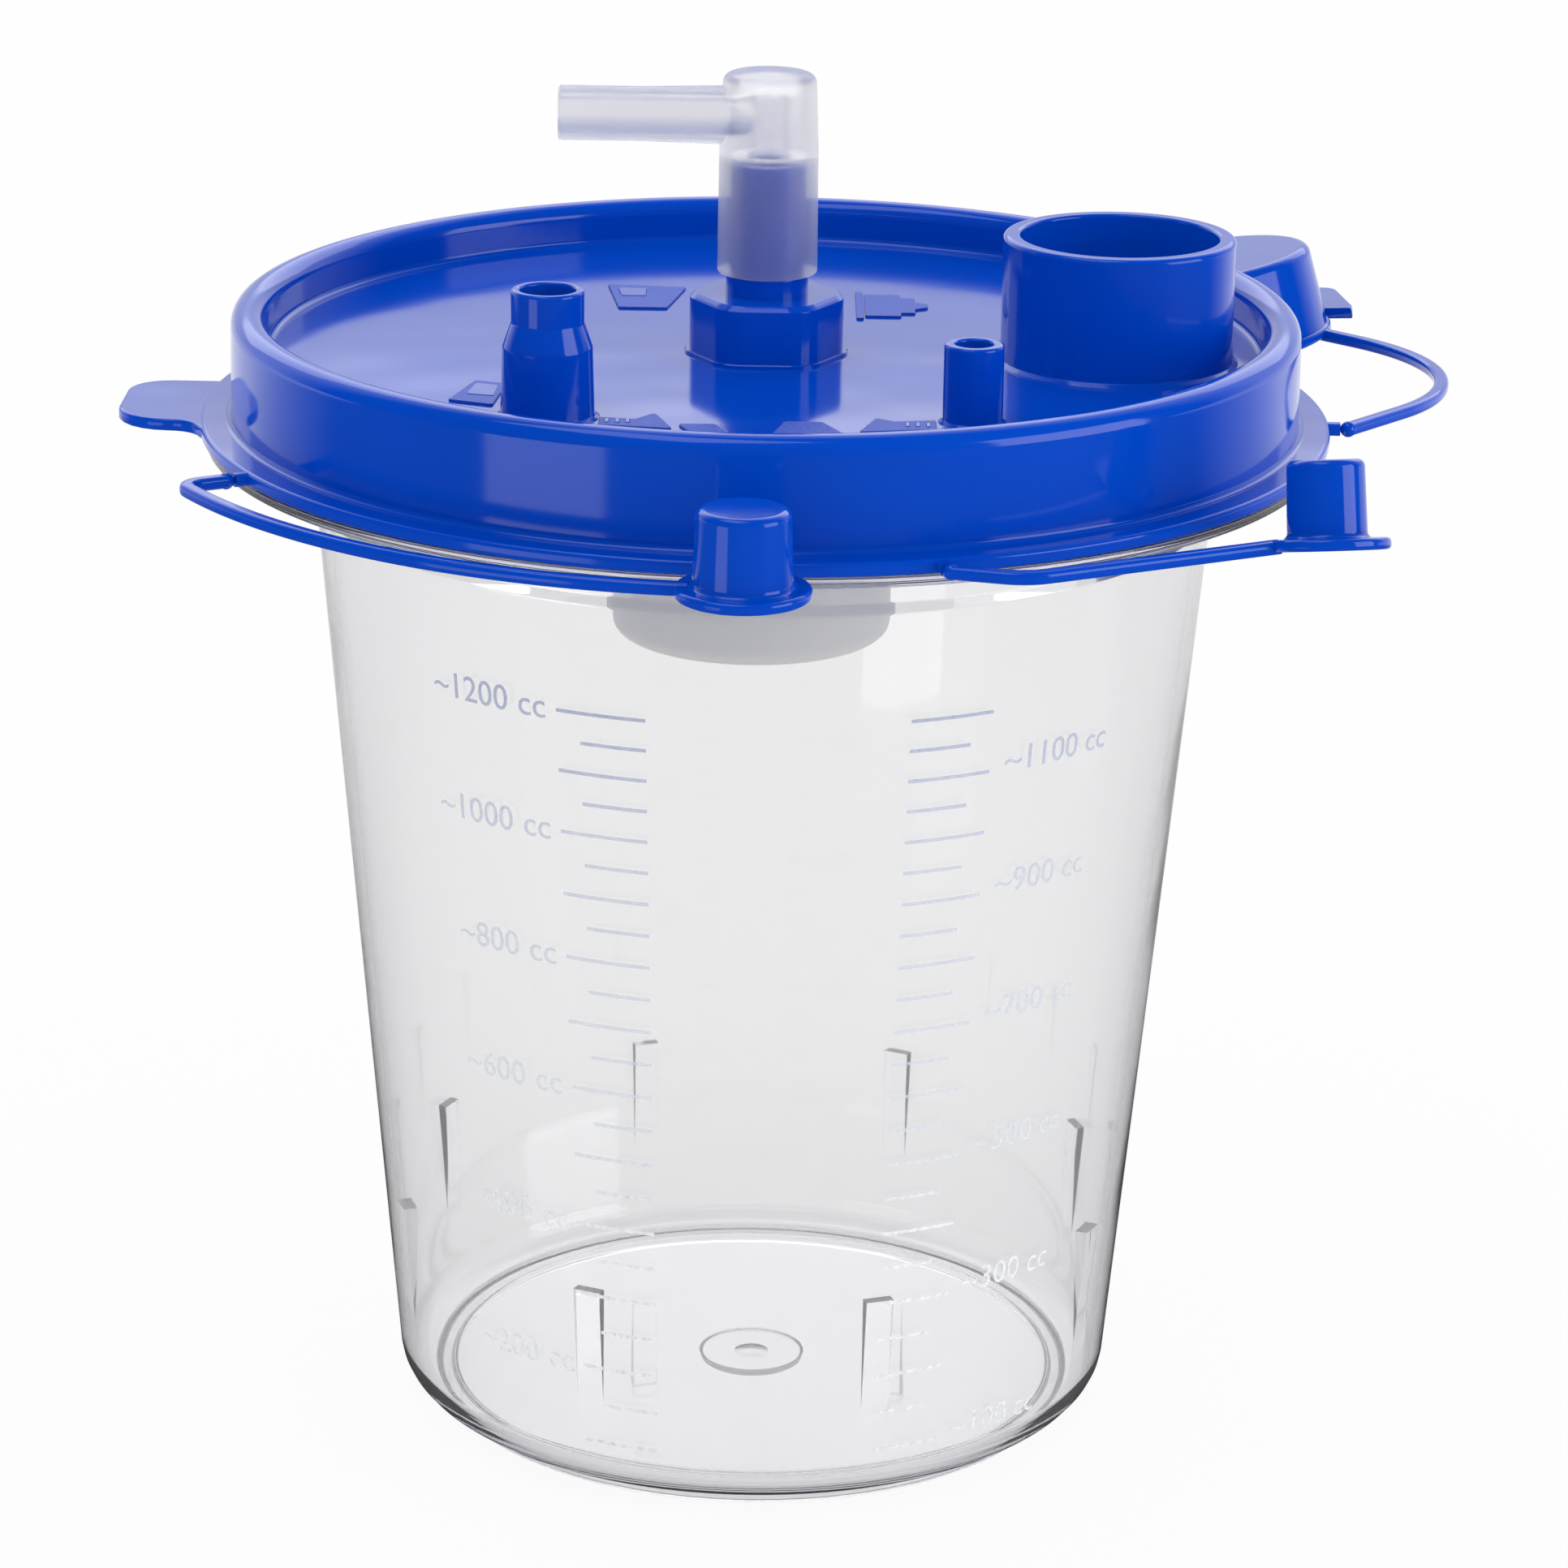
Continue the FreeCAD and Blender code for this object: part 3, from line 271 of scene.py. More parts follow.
def clear_polystyrene():
    """Smooth transmission with a faint ripple on the skin and a dyed inside."""
    material, tree, output = new_material("clear_polystyrene")
    place = add_node(tree, "ShaderNodeTexCoord")
    flow = add_node(tree, "ShaderNodeTexNoise", {
        "Vector": place.outputs["Object"], "Scale": 22.0, "Detail": 2.0, "Roughness": 0.4,
    })
    ripple = add_node(tree, "ShaderNodeBump", {
        "Strength": 0.06, "Distance": 0.002, "Height": flow.outputs["Fac"],
    })
    surface = add_node(tree, "ShaderNodeBsdfPrincipled", {
        "Base Color": linear("#FEFEFD"), "Roughness": 0.02, "IOR": 1.59,
        "Transmission Weight": 0.96, "Normal": ripple.outputs["Normal"],
    })
    dye = add_node(tree, "ShaderNodeVolumeAbsorption", {
        "Color": linear("#8684D8"), "Density": 17.0,
    })
    tree.links.new(surface.outputs[0], output.inputs["Surface"])
    tree.links.new(dye.outputs[0], output.inputs["Volume"])
    return material


CLEAR = clear_polystyrene()

# %% [markdown]
# ## Blue polyethylene
#
# Lid, straps and caps are one grade of polyethylene, coloured through and moulded against
# polished steel, so they mirror the studio at shallow angles. The skin still ripples a little
# where the plastic shrank, and broad noise in the bump bends reflections the same way.

# %% Material of the lid and caps


def blue_polyethylene(name="blue_polyethylene", roughness=0.1, grain=0.0):
    """grain adds the fine matt texture that raised signs have on the tool."""
    material, tree, output = new_material(name)
    place = add_node(tree, "ShaderNodeTexCoord")
    shrink = add_node(tree, "ShaderNodeTexNoise", {
        "Vector": place.outputs["Object"], "Scale": 45.0, "Detail": 1.0, "Roughness": 0.4,
    })
    skin = add_node(tree, "ShaderNodeBump", {
        "Strength": 0.05, "Distance": 0.002, "Height": shrink.outputs["Fac"],
    })
    normal = skin.outputs["Normal"]
    if grain:
        sparks = add_node(tree, "ShaderNodeTexNoise", {
            "Vector": place.outputs["Object"], "Scale": 2500.0, "Detail": 1.0,
        })
        normal = add_node(tree, "ShaderNodeBump", {
            "Strength": grain, "Distance": 0.0002, "Height": sparks.outputs["Fac"],
            "Normal": normal,
        }).outputs["Normal"]
    depth = add_node(tree, "ShaderNodeTexNoise", {
        "Vector": place.outputs["Object"], "Scale": 18.0, "Detail": 2.0,
    })
    colour = add_node(tree, "ShaderNodeValToRGB", {"Fac": depth.outputs["Fac"]})
    colour.color_ramp.elements[0].position = 0.3
    colour.color_ramp.elements[0].color = linear("#0043BC")
    colour.color_ramp.elements[1].position = 0.7
    colour.color_ramp.elements[1].color = linear("#0048C6")
    surface = add_node(tree, "ShaderNodeBsdfPrincipled", {
        "Base Color": colour.outputs["Color"], "Roughness": roughness, "IOR": 1.52,
        "Normal": normal,
    })
    tree.links.new(surface.outputs[0], output.inputs["Surface"])
    return material


BLUE = blue_polyethylene()
BLUE_MATT = blue_polyethylene("blue_polyethylene_matt", roughness=0.5, grain=0.5)

# %% [markdown]
# ## Frosted and natural polypropylene
#
# The elbow is unpigmented polypropylene. Its crystals scatter light, so the blue spigot shows
# through as a soft shape. Rough transmission gives the blur, and a share of plain diffuse
# gives the milk. The valve's drum is thick enough to hide what is in it, so it passes no light.

# %% Materials of the elbow and the valve


def polypropylene(name, colour, passes, roughness, cover=1.0):
    """passes is the share of light that goes through blurred; 1 - cover goes straight on."""
    material, tree, output = new_material(name)
    place = add_node(tree, "ShaderNodeTexCoord")
    cloud = add_node(tree, "ShaderNodeTexNoise", {
        "Vector": place.outputs["Object"], "Scale": 240.0, "Detail": 3.0, "Roughness": 0.6,
    })
    haze = add_node(tree, "ShaderNodeMapRange", {
        "Value": cloud.outputs["Fac"], "To Min": roughness - 0.05, "To Max": roughness + 0.05,
    })
    skin = add_node(tree, "ShaderNodeBump", {
        "Strength": 0.08, "Distance": 0.0003, "Height": cloud.outputs["Fac"],
    })
    surface = add_node(tree, "ShaderNodeBsdfPrincipled", {
        "Base Color": linear(colour), "Roughness": haze.outputs["Result"], "IOR": 1.49,
        "Transmission Weight": passes, "Alpha": cover, "Normal": skin.outputs["Normal"],
    })
    tree.links.new(surface.outputs[0], output.inputs["Surface"])
    return material


FROSTED = polypropylene("frosted_polypropylene", "#ECECF1", 0.86, 0.3, cover=0.58)
NATURAL = polypropylene("natural_polypropylene", "#FFFFFE", 0.0, 0.42)


def pressed_felt():
    """Pressed fibres: matt, off-white, with a bump of fine fibres about 0.1 mm wide."""
    material, tree, output = new_material("filter_felt")
    place = add_node(tree, "ShaderNodeTexCoord")
    fibres = add_node(tree, "ShaderNodeTexNoise", {
        "Vector": place.outputs["Object"], "Scale": 4000.0, "Detail": 4.0, "Distortion": 2.0,
    })
    fuzz = add_node(tree, "ShaderNodeBump", {
        "Strength": 0.5, "Distance": 0.0002, "Height": fibres.outputs["Fac"],
    })
    surface = add_node(tree, "ShaderNodeBsdfPrincipled", {
        "Base Color": linear("#EDEDE8"), "Roughness": 0.95, "Normal": fuzz.outputs["Normal"],
    })
    tree.links.new(surface.outputs[0], output.inputs["Surface"])
    return material


def moulded_rubber():
    """Soft dark rubber with a dull skin."""
    material, tree, output = new_material("soft_rubber")
    place = add_node(tree, "ShaderNodeTexCoord")
    bloom = add_node(tree, "ShaderNodeTexNoise", {
        "Vector": place.outputs["Object"], "Scale": 600.0, "Detail": 3.0,
    })
    dull = add_node(tree, "ShaderNodeMapRange", {
        "Value": bloom.outputs["Fac"], "To Min": 0.5, "To Max": 0.7,
    })
    surface = add_node(tree, "ShaderNodeBsdfPrincipled", {
        "Base Color": linear("#88888C"), "Roughness": dull.outputs["Result"],
    })
    tree.links.new(surface.outputs[0], output.inputs["Surface"])
    return material


# The ink's colour and cover over height are painted light and shade: whiter and thinner low down,
# greyer and fuller near the lid.
INK_AND_PAINTED_SHADE_STOPS = [
    (0.34, "#FAFCFF", 0.95), (0.5, "#E6EBF6", 0.4), (0.8, "#D0D6EA", 0.5), (0.94, "#BFC6E0", 0.85),
]
INK_RAMP_HEIGHT = 0.13


def scale_ink():
    """Pad-printed ink with painted light and shade over height z: white at the foot and thinned
    half away in the middle as painted light, greyer and fuller near the lid as painted shade. Each
    stop is (share of the ramp's height, colour, cover), and the cover travels as the ramp's alpha."""
    material, tree, output = new_material("white_scale_ink_painted_shade")
    place = add_node(tree, "ShaderNodeTexCoord")
    grain = add_node(tree, "ShaderNodeTexNoise", {
        "Vector": place.outputs["Object"], "Scale": 900.0, "Detail": 2.0,
    })
    height = add_node(tree, "ShaderNodeSeparateXYZ", {"Vector": place.outputs["Object"]})
    level = add_node(tree, "ShaderNodeMapRange", {
        "Value": height.outputs["Z"], "From Max": INK_RAMP_HEIGHT,
    })
    ink_and_painted_shade = add_node(tree, "ShaderNodeValToRGB", {"Fac": level.outputs["Result"]})
    stops = ink_and_painted_shade.color_ramp.elements
    for position, _, _ in INK_AND_PAINTED_SHADE_STOPS[1:-1]:
        stops.new(position)
    for stop, (position, code, cover) in zip(stops, INK_AND_PAINTED_SHADE_STOPS):
        stop.position = position
        stop.color = (*linear(code)[:3], cover)
    spots = add_node(tree, "ShaderNodeMapRange", {
        "Value": grain.outputs["Fac"], "From Min": 0.3, "From Max": 0.6,
        "To Min": 0.6, "To Max": 1.0,
    })
    cover = add_node(tree, "ShaderNodeMath", {
        0: spots.outputs["Result"], 1: ink_and_painted_shade.outputs["Alpha"],
    }, operation="MULTIPLY")
    surface = add_node(tree, "ShaderNodeBsdfPrincipled", {
        "Base Color": ink_and_painted_shade.outputs["Color"], "Roughness": 0.4, "Alpha": cover.outputs[0],
    })
    tree.links.new(surface.outputs[0], output.inputs["Surface"])
    return material


FELT = pressed_felt()
RUBBER = moulded_rubber()
INK = scale_ink()
print("materials:", [material.name for material in bpy.data.materials])

# %% [markdown]
# ## Turned surfaces
#
# Nearly every part was turned in the mould maker's lathe. A shape is a half section: corners
# with a radius, a height and a rounding. The rounding becomes a short arc, and the section is
# carried round the axis as one numpy grid. Extra points beside each arc keep flat faces flat
# in the shading.

# %% Section and surface helpers
ARC_POINTS = 6
GUARD = 0.04
SEGMENTS = 192
SHARP_ANGLE = math.radians(30)


def rounded(corners, closed=True):
    """Corner (x, y, r) becomes an arc of radius r tangent to both runs. Each run is cut back by
    r / tan(half the angle), and the arc's centre is r / sin(half the angle) along the bisector."""
    count = len(corners)
    points = []
    for index, corner in enumerate(corners):
        here = np.array(corner[:2], float)
        radius = corner[2] if len(corner) > 2 else 0
        if not radius or (not closed and index in (0, count - 1)):
            points.append(here)
            continue
        back = np.array(corners[index - 1][:2], float) - here
        ahead = np.array(corners[(index + 1) % count][:2], float) - here
        back /= np.linalg.norm(back)
        ahead /= np.linalg.norm(ahead)
        half = math.acos(np.clip(back @ ahead, -1, 1)) / 2
        reach = radius / math.tan(half)
        middle = here + (back + ahead) / np.linalg.norm(back + ahead) * radius / math.sin(half)
        first, last = here + back * reach, here + ahead * reach
        start = math.atan2(*(first - middle)[::-1])
        sweep = (math.atan2(*(last - middle)[::-1]) - start + math.pi) % (2 * math.pi) - math.pi
        angles = start + sweep * np.linspace(0, 1, ARC_POINTS + 1)
        points.append(first + back * GUARD)
        points.extend(middle + radius * np.stack([np.cos(angles), np.sin(angles)], 1))
        points.append(last + ahead * GUARD)
    return np.array(points)


def make_piece(name, points, faces, material, body, smooth=SHARP_ANGLE):
    """Points in millimetres and faces become an object with merged doubles and outward faces."""
    mesh = bpy.data.meshes.new(name)
    mesh.from_pydata((np.asarray(points) * MM).tolist(), [], [list(face) for face in faces])
    shape = bmesh.new()
    shape.from_mesh(mesh)
    bmesh.ops.remove_doubles(shape, verts=shape.verts, dist=2e-6)
    bmesh.ops.recalc_face_normals(shape, faces=shape.faces)
    shape.to_mesh(mesh)
    shape.free()
    piece = bpy.data.objects.new(name, mesh)
    scene.collection.objects.link(piece)
    finish_piece(piece, material, smooth)
    if body:
        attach(piece, body)
    return piece


def finish_piece(piece, material, smooth=SHARP_ANGLE):
    """One material, smooth faces, and hard edges where the faces turn by more than the angle."""
    mesh = piece.data
    mesh.materials.clear()
    mesh.materials.append(material)
    mesh.polygons.foreach_set("use_smooth", np.ones(len(mesh.polygons), bool))
    mesh.set_sharp_from_angle(angle=smooth)


def grid_faces(rows, columns, wrap_rows, wrap_columns):
    """Quads between neighbours of a rows by columns grid, which may close on itself."""
    row = np.arange(rows if wrap_rows else rows - 1)
    column = np.arange(columns if wrap_columns else columns - 1)
    row, column = [each.ravel() for each in np.meshgrid(row, column, indexing="ij")]
    below, beside = (row + 1) % rows, (column + 1) % columns
    return np.stack([
        row * columns + column, row * columns + beside,
        below * columns + beside, below * columns + column,
    ], 1)


def turned_grid(corners, centre=(0, 0, 0), segments=SEGMENTS):
    """Point (r, z) of the section goes to (r cos t, r sin t, z) for t all the way round."""
    section = rounded(corners)
    t = np.linspace(0, 2 * math.pi, segments, endpoint=False)
    radius, height = section[:, :1], section[:, 1:]
    points = np.stack([
        radius * np.cos(t), radius * np.sin(t), np.broadcast_to(height, (len(section), segments))
    ], -1)
    faces = grid_faces(len(section), segments, True, True)
    return (points + np.array(centre)).reshape(-1, 3), faces


def turned(name, corners, material, body, centre=(0, 0, 0), segments=SEGMENTS):
    """A turned grid as a piece of its own."""
    points, faces = turned_grid(corners, centre, segments)
    return make_piece(name, points, faces, material, body)


def carved(piece, others, operation="DIFFERENCE"):
    """Joins or cuts the piece with closed helpers, which are then thrown away."""
    for other in others:
        step = piece.modifiers.new(operation.lower(), "BOOLEAN")
        step.operation = operation
        step.solver = "EXACT"
        step.object = other
    graph = bpy.context.evaluated_depsgraph_get()
    mesh = bpy.data.meshes.new_from_object(piece.evaluated_get(graph))
    piece.modifiers.clear()
    old, piece.data = piece.data, mesh
    mesh.name = piece.name
    bpy.data.meshes.remove(old)
    for other in others:
        bpy.data.objects.remove(other)
    finish_piece(piece, piece.data.materials[0])
    return piece


# %% [markdown]
# ## The cup
#
# The cup is a single moulding: foot ring, heel, tapered wall, a small shoulder, a ledge and
# the collar that the lid grips. Eight ribs inside the foot keep stacked cups apart. They are
# joined to the wall, because clear plastic shows every seam inside it.

# %% Cup
CUP_RADIUS, CUP_SLOPE, CUP_WALL = 52.24, 0.08674, 1.6
FLOOR, SEAT, SHOULDER = 4.2, 147.3, 137.3
LEDGE_UNDER, COLLAR_TOP = 145.4, 162.5


def cup_outer(height):
    """The wall's outer radius grows evenly with height: radius + slope times height."""
    return CUP_RADIUS + CUP_SLOPE * height


def cup_inner(height):
    """The outer radius less the wall."""
    return cup_outer(height) - CUP_WALL


def box_points(low, high, angle):
    """Corners of a box in the radial frame at an angle: x runs outwards, y along the circle."""
    corners = np.array([[x, y, z] for x in (low[0], high[0]) for y in (low[1], high[1])
                        for z in (low[2], high[2])])
    c, s = math.cos(math.radians(angle)), math.sin(math.radians(angle))
    turn = np.array([[c, -s, 0], [s, c, 0], [0, 0, 1]])
    return corners @ turn.T


BOX_FACES = [(0, 1, 3, 2), (4, 6, 7, 5), (0, 4, 5, 1), (2, 3, 7, 6), (0, 2, 6, 4), (1, 5, 7, 3)]
RIB_COUNT, RIB_FIRST, RIB_FACE = 8, -115.58, 52.0
RIB_HALF_WIDTH, RIB_FOOT, RIB_TOP = 2.0, 10.0, 33.6

cup = turned("clear_cup", [
    (0, 1.4), (2.6, 0.8, 0.3), (7.6, 0.8, 0.3), (7.6, 2.0, 0.3),
    (44.9, 2.0, 0.6), (44.9, 0, 0.6), (46.9, 0, 0.6), (47.4, 2.2, 0.5),
    (cup_outer(2.2), 2.2, 5.2), (cup_outer(SHOULDER), SHOULDER, 1.2),
    (cup_outer(139.2) + 0.75, 139.2, 1.2), (cup_outer(LEDGE_UNDER) + 0.75, LEDGE_UNDER, 0.5),
    (79.6, LEDGE_UNDER, 0.9), (79.6, SEAT, 0.9), (74.1, SEAT, 0.5), (74.1, COLLAR_TOP, 0.5),
    (72.8, COLLAR_TOP, 0.5), (72.8, SEAT, 0.5), (cup_inner(SEAT), SEAT, 1.0),
    (cup_inner(FLOOR), FLOOR, 4.0), (0, FLOOR),
], CLEAR, "cup", segments=256)

ribs = []
for number in range(RIB_COUNT):
    angle = RIB_FIRST + 360 / RIB_COUNT * number
    points = box_points((RIB_FACE, -RIB_HALF_WIDTH, RIB_FOOT), (0, RIB_HALF_WIDTH, RIB_TOP), angle)
    outer = box_points((0, -RIB_HALF_WIDTH, RIB_FOOT), (0, RIB_HALF_WIDTH, RIB_TOP), angle)
    direction = np.array([math.cos(math.radians(angle)), math.sin(math.radians(angle)), 0])
    height = outer[4:, 2:]
    points[4:] = outer[4:] + direction * (cup_outer(height) - CUP_WALL / 2)
    ribs.append(make_piece(f"rib_{number}", points, BOX_FACES, CLEAR, None))
carved(cup, ribs, "UNION")
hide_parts("cup")
print("cup faces:", len(cup.data.polygons))

# %% [markdown]
# ## The printed scale
#
# Two columns of marks stand 50 cc apart. A mark's height follows from the cup's cone: the
# volume between two heights is pi / (3 slope) times the difference of the cubed radii. Marks
# and figures are thin prints, bent round the cone. Other printing on the cup is left off.

# %% Printed scale
FIRST_MARK, FIRST_HEIGHT, LAST_MARK, LAST_HEIGHT = 100, 10.2, 1200, 121.7
PRINT_LIFT, PRINT_THICKNESS, LINE_HEIGHT = 0.02, 0.05, 0.5


def cube_sum(height):
    """Volume below a height, up to a constant, in cubic centimetres."""
    return math.pi / (3 * CUP_SLOPE) * cup_inner(height) ** 3 / 1000


def mark_height(volume):
    """The cone's formula solved for height, scaled so that the last mark meets its place."""
    share = (volume - FIRST_MARK) / (LAST_MARK - FIRST_MARK)
    total = cube_sum(FIRST_HEIGHT) + share * (cube_sum(LAST_HEIGHT) - cube_sum(FIRST_HEIGHT))
    radius = (total * 1000 * 3 * CUP_SLOPE / math.pi) ** (1 / 3)
    return (radius + CUP_WALL - CUP_RADIUS) / CUP_SLOPE


def on_cone(azimuth, height, lift):
    """azimuth is in degrees from the front, to the right; lift stands off the wall."""
    t = np.radians(azimuth)
    radius = cup_outer(height) + lift
    return np.stack([radius * np.sin(t), -radius * np.cos(t), height], -1)


def printed_line(start, end, height):
    """A closed thin band: a grid along azimuth, four points round its section."""
    azimuth = np.linspace(start, end, 9)
    half = LINE_HEIGHT / 2
    top = PRINT_LIFT + PRINT_THICKNESS
    section = [(-half, PRINT_LIFT), (half, PRINT_LIFT), (half, top), (-half, top)]
    points = np.stack([
        on_cone(azimuth, np.full(len(azimuth), height + rise), lift) for rise, lift in section
    ], 1)
    faces = grid_faces(len(azimuth), len(section), False, True).tolist()
    return points.reshape(-1, 3), faces + [[0, 1, 2, 3], [35, 34, 33, 32]]


def gather(parts):
    """Several (points, faces) sets as one."""
    points, faces, offset = [], [], 0
    for some_points, some_faces in parts:
        points.append(some_points)
        faces.extend([[index + offset for index in face] for face in some_faces])
        offset += len(some_points)
    return np.concatenate(points), faces


lines = []
for volume in range(FIRST_MARK, LAST_MARK + 1, 50):
    height = mark_height(volume)
    long = volume % 100 == 0
    lines.append(printed_line(-26.0 if long else -22.8, -14.2, height))
    lines.append(printed_line(18.8, 30.0 if long else 27.0, height))
points, faces = gather(lines)
make_piece("printed_scale_lines", points, faces, INK, "cup")


def printed_words(text, azimuth, height, size, align):
    """A font outline, filled and thickened, then laid on the cone: x along it, y up it."""
    curve = bpy.data.curves.new("words", "FONT")
    curve.body = text
    curve.size = size
    curve.align_x = align
    curve.extrude = PRINT_THICKNESS / 2
    curve.resolution_u = 3
    maker = bpy.data.objects.new("words", curve)
    scene.collection.objects.link(maker)
    graph = bpy.context.evaluated_depsgraph_get()
    mesh = bpy.data.meshes.new_from_object(maker.evaluated_get(graph))
    flat = np.zeros(len(mesh.vertices) * 3)
    mesh.vertices.foreach_get("co", flat)
    flat = flat.reshape(-1, 3)
    faces = [list(face.vertices) for face in mesh.polygons]
    bpy.data.objects.remove(maker)
    bpy.data.curves.remove(curve)
    bpy.data.meshes.remove(mesh)
    tall = height + flat[:, 1]
    across = azimuth + np.degrees(flat[:, 0] / cup_outer(height))
    return on_cone(across, tall, PRINT_LIFT + flat[:, 2] + PRINT_THICKNESS / 2), faces


words = []
for volume in range(FIRST_MARK, LAST_MARK + 1, 100):
    height = mark_height(volume)
    if volume % 200 == 0:
        words.append(printed_words(f"~{volume} cc", -27.4, height - 1.5, 5.25, "RIGHT"))
    else:
        words.append(printed_words(f"~{volume} cc", 32.2, height - 0.5, 5.15, "LEFT"))
points, faces = gather(words)
make_piece("printed_scale_figures", points, faces, INK, "cup")
print("marks from", round(mark_height(100), 1), "to", round(mark_height(1200), 1), "mm")

# %% [markdown]
# ## The lid's shell
#
# Deck, plug wall, rim channel, outer band and flange are one turned section. The ports open
# through the deck, so round cutters take out their bores. A thin gap under the flange lets the
# clear ledge below it reflect light inside itself, as the loose fit of the real lid does.

# %% Lid shell
DECK_UNDER, DECK = SEAT + 9.5, SEAT + 11.0
BOSS_AT, ORTHO_AT = (0, -1.65), (49.58, -3.49)
PATIENT_AT, TANDEM_AT = (-29.4, -40.56), (28.04, -40.56)
AIR_GAP = 0.05

lid = turned("lid_shell", [(radius, SEAT + level, *more) for radius, level, *more in [
    (0, 9.5), (70.9, 9.5, 1.0), (70.9, 4.0, 0.2), (72.0, 4.0, 0.2), (72.5, 5.2),
    (72.5, 12.1), (72.75, 12.35), (72.75, 12.65), (72.5, 12.9), (72.5, 15.6, 0.6),
    (74.4, 15.6, 0.6), (74.4, AIR_GAP, 0.6), (80.4, AIR_GAP, 0.6), (80.4, 2.0, 0.6),
    (75.9, 2.0, 0.8), (75.75, 17.38, 2.25), (70.9, 17.38, 2.25), (70.9, 11.0, 1.0), (0, 11.0),
]], BLUE, "lid", segments=256)


def cutter(radius, low, high, at):
    """A plain round bar, used up by a cut."""
    return turned("cutter", [(0, low), (radius, low), (radius, high), (0, high)], BLUE,
                  None, centre=(*at, 0), segments=96)


carved(lid, [
    cutter(13.97, DECK_UNDER - 1, DECK + 1, ORTHO_AT),
    cutter(3.78, DECK_UNDER - 1, DECK + 1, PATIENT_AT),
    cutter(2.57, DECK_UNDER - 1, DECK + 1, TANDEM_AT),
    cutter(7.96, DECK_UNDER - 1, DECK + 1, BOSS_AT),
])
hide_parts("lid")
print("lid shell faces:", len(lid.data.polygons))

# %% [markdown]
# ## Ports
#
# Each port is a turned tube sunk a little into the deck. The patient port steps out to a
# shoulder, the ortho port is wide and plain, and the tandem port is the smallest.

# %% Ports
SUNK = DECK - 0.6
turned("ortho_port", [
    (13.97, SUNK), (17.3, SUNK), (17.3, DECK), (16.6, DECK + 0.5, 0.3), (16.4, DECK + 3.0),
    (16.4, DECK + 17.95, 0.7), (13.97, DECK + 17.95, 0.5),
], BLUE, "lid", centre=(*ORTHO_AT, 0), segments=160)
turned("patient_port", [
    (3.78, SUNK), (7.1, SUNK), (7.1, DECK), (6.4, DECK + 0.5, 0.3), (6.11, DECK + 9.7, 0.9),
    (4.95, DECK + 13.0, 0.7), (4.95, DECK + 17.56, 0.45), (3.78, DECK + 17.56, 0.4),
], BLUE, "lid", centre=(*PATIENT_AT, 0), segments=128)
turned("tandem_port", [
    (2.57, SUNK), (4.7, SUNK), (4.7, DECK), (4.1, DECK + 0.5, 0.3), (4.08, DECK + 10.96, 0.45),
    (2.57, DECK + 10.96, 0.4),
], BLUE, "lid", centre=(*TANDEM_AT, 0), segments=128)

# %% [markdown]
# ## Plates with rounded corners
#
# The vacuum boss, the lift tab, the strap lugs and the deck's signs are plates: an outline
# with rounded corners, lifted to a height, with a chamfer or a small edge at the top.

# %% Plates


def plate_grid(outline, levels):
    """Each level is (height, inset): the outline moved inwards along its corner normals."""
    outline = np.asarray(outline, float)
    ahead = np.roll(outline, -1, 0) - outline
    ahead /= np.linalg.norm(ahead, axis=1, keepdims=True)
    behind = np.roll(ahead, 1, 0)
    tangent = ahead + behind
    tangent /= np.linalg.norm(tangent, axis=1, keepdims=True)
    inwards = np.stack([-tangent[:, 1], tangent[:, 0]], 1)
    reach = 1 / np.clip(np.sqrt((1 + (ahead * behind).sum(1)) / 2), 0.3, 1)[:, None]
    rings = [
        np.column_stack([outline + inwards * reach * inset, np.full(len(outline), height)])
        for height, inset in levels
    ]
    count = len(outline)
    faces = grid_faces(len(levels), count, False, True).tolist()
    faces.append(list(range(count)))
    faces.append(list(range(count * len(levels) - 1, count * (len(levels) - 1) - 1, -1)))
    return np.concatenate(rings), faces


def spun(points, angle, at=(0, 0, 0)):
    """Turned about the vertical by an angle in degrees, then moved."""
    c, s = math.cos(math.radians(angle)), math.sin(math.radians(angle))
    turn = np.array([[c, -s, 0], [s, c, 0], [0, 0, 1]])
    return np.asarray(points) @ turn.T + np.array(at)


def edge_levels(low, high, edge):
    """Heights and insets: h = high - e + e sin t and inset = e - e cos t, the same below."""
    t = np.linspace(0, math.pi / 2, 5)
    upper = [(high - edge + edge * math.sin(a), edge - edge * math.cos(a)) for a in t]
    lower = [(low + edge - edge * math.sin(a), edge - edge * math.cos(a)) for a in t[::-1]]
    return [(low, edge + GUARD), *lower, *upper, (high, edge + GUARD)]


def hexagon(radius, rounding):
    """Six corners at even angles, each rounded."""
    return rounded([
        (radius * math.cos(math.radians(60 * turn)), radius * math.sin(math.radians(60 * turn)),
         rounding) for turn in range(6)
    ])


BOSS_TOP, NECK_TOP, SPIGOT_TOP = DECK + 8.64, DECK + 11.55, DECK + 27.36
points, faces = plate_grid(hexagon(11.64, 4.85), [
    (SUNK, 0), (BOSS_TOP - 0.8, 0), (BOSS_TOP - 0.7, 0.02), (BOSS_TOP - 0.1, 0.6),
    (BOSS_TOP, 0.75), (BOSS_TOP, 0.75 + GUARD),
])
make_piece("vacuum_boss", spun(points, 0, (*BOSS_AT, 0)), faces, BLUE, "lid")
points, faces = plate_grid(hexagon(12.34, 4.85), [(SUNK, 0), (DECK + 0.35, 0), (DECK + 0.5, 0.15)])
make_piece("boss_base_lip", spun(points, 0, (*BOSS_AT, 0)), faces, BLUE, "lid")
turned("vacuum_spigot", [
    (3.2, BOSS_TOP - 0.5), (5.82, BOSS_TOP - 0.5), (5.82, NECK_TOP, 0.3), (5.29, NECK_TOP),
    (5.29, SPIGOT_TOP, 0.5), (3.2, SPIGOT_TOP, 0.3),
], BLUE, "lid", centre=(*BOSS_AT, 0), segments=96)

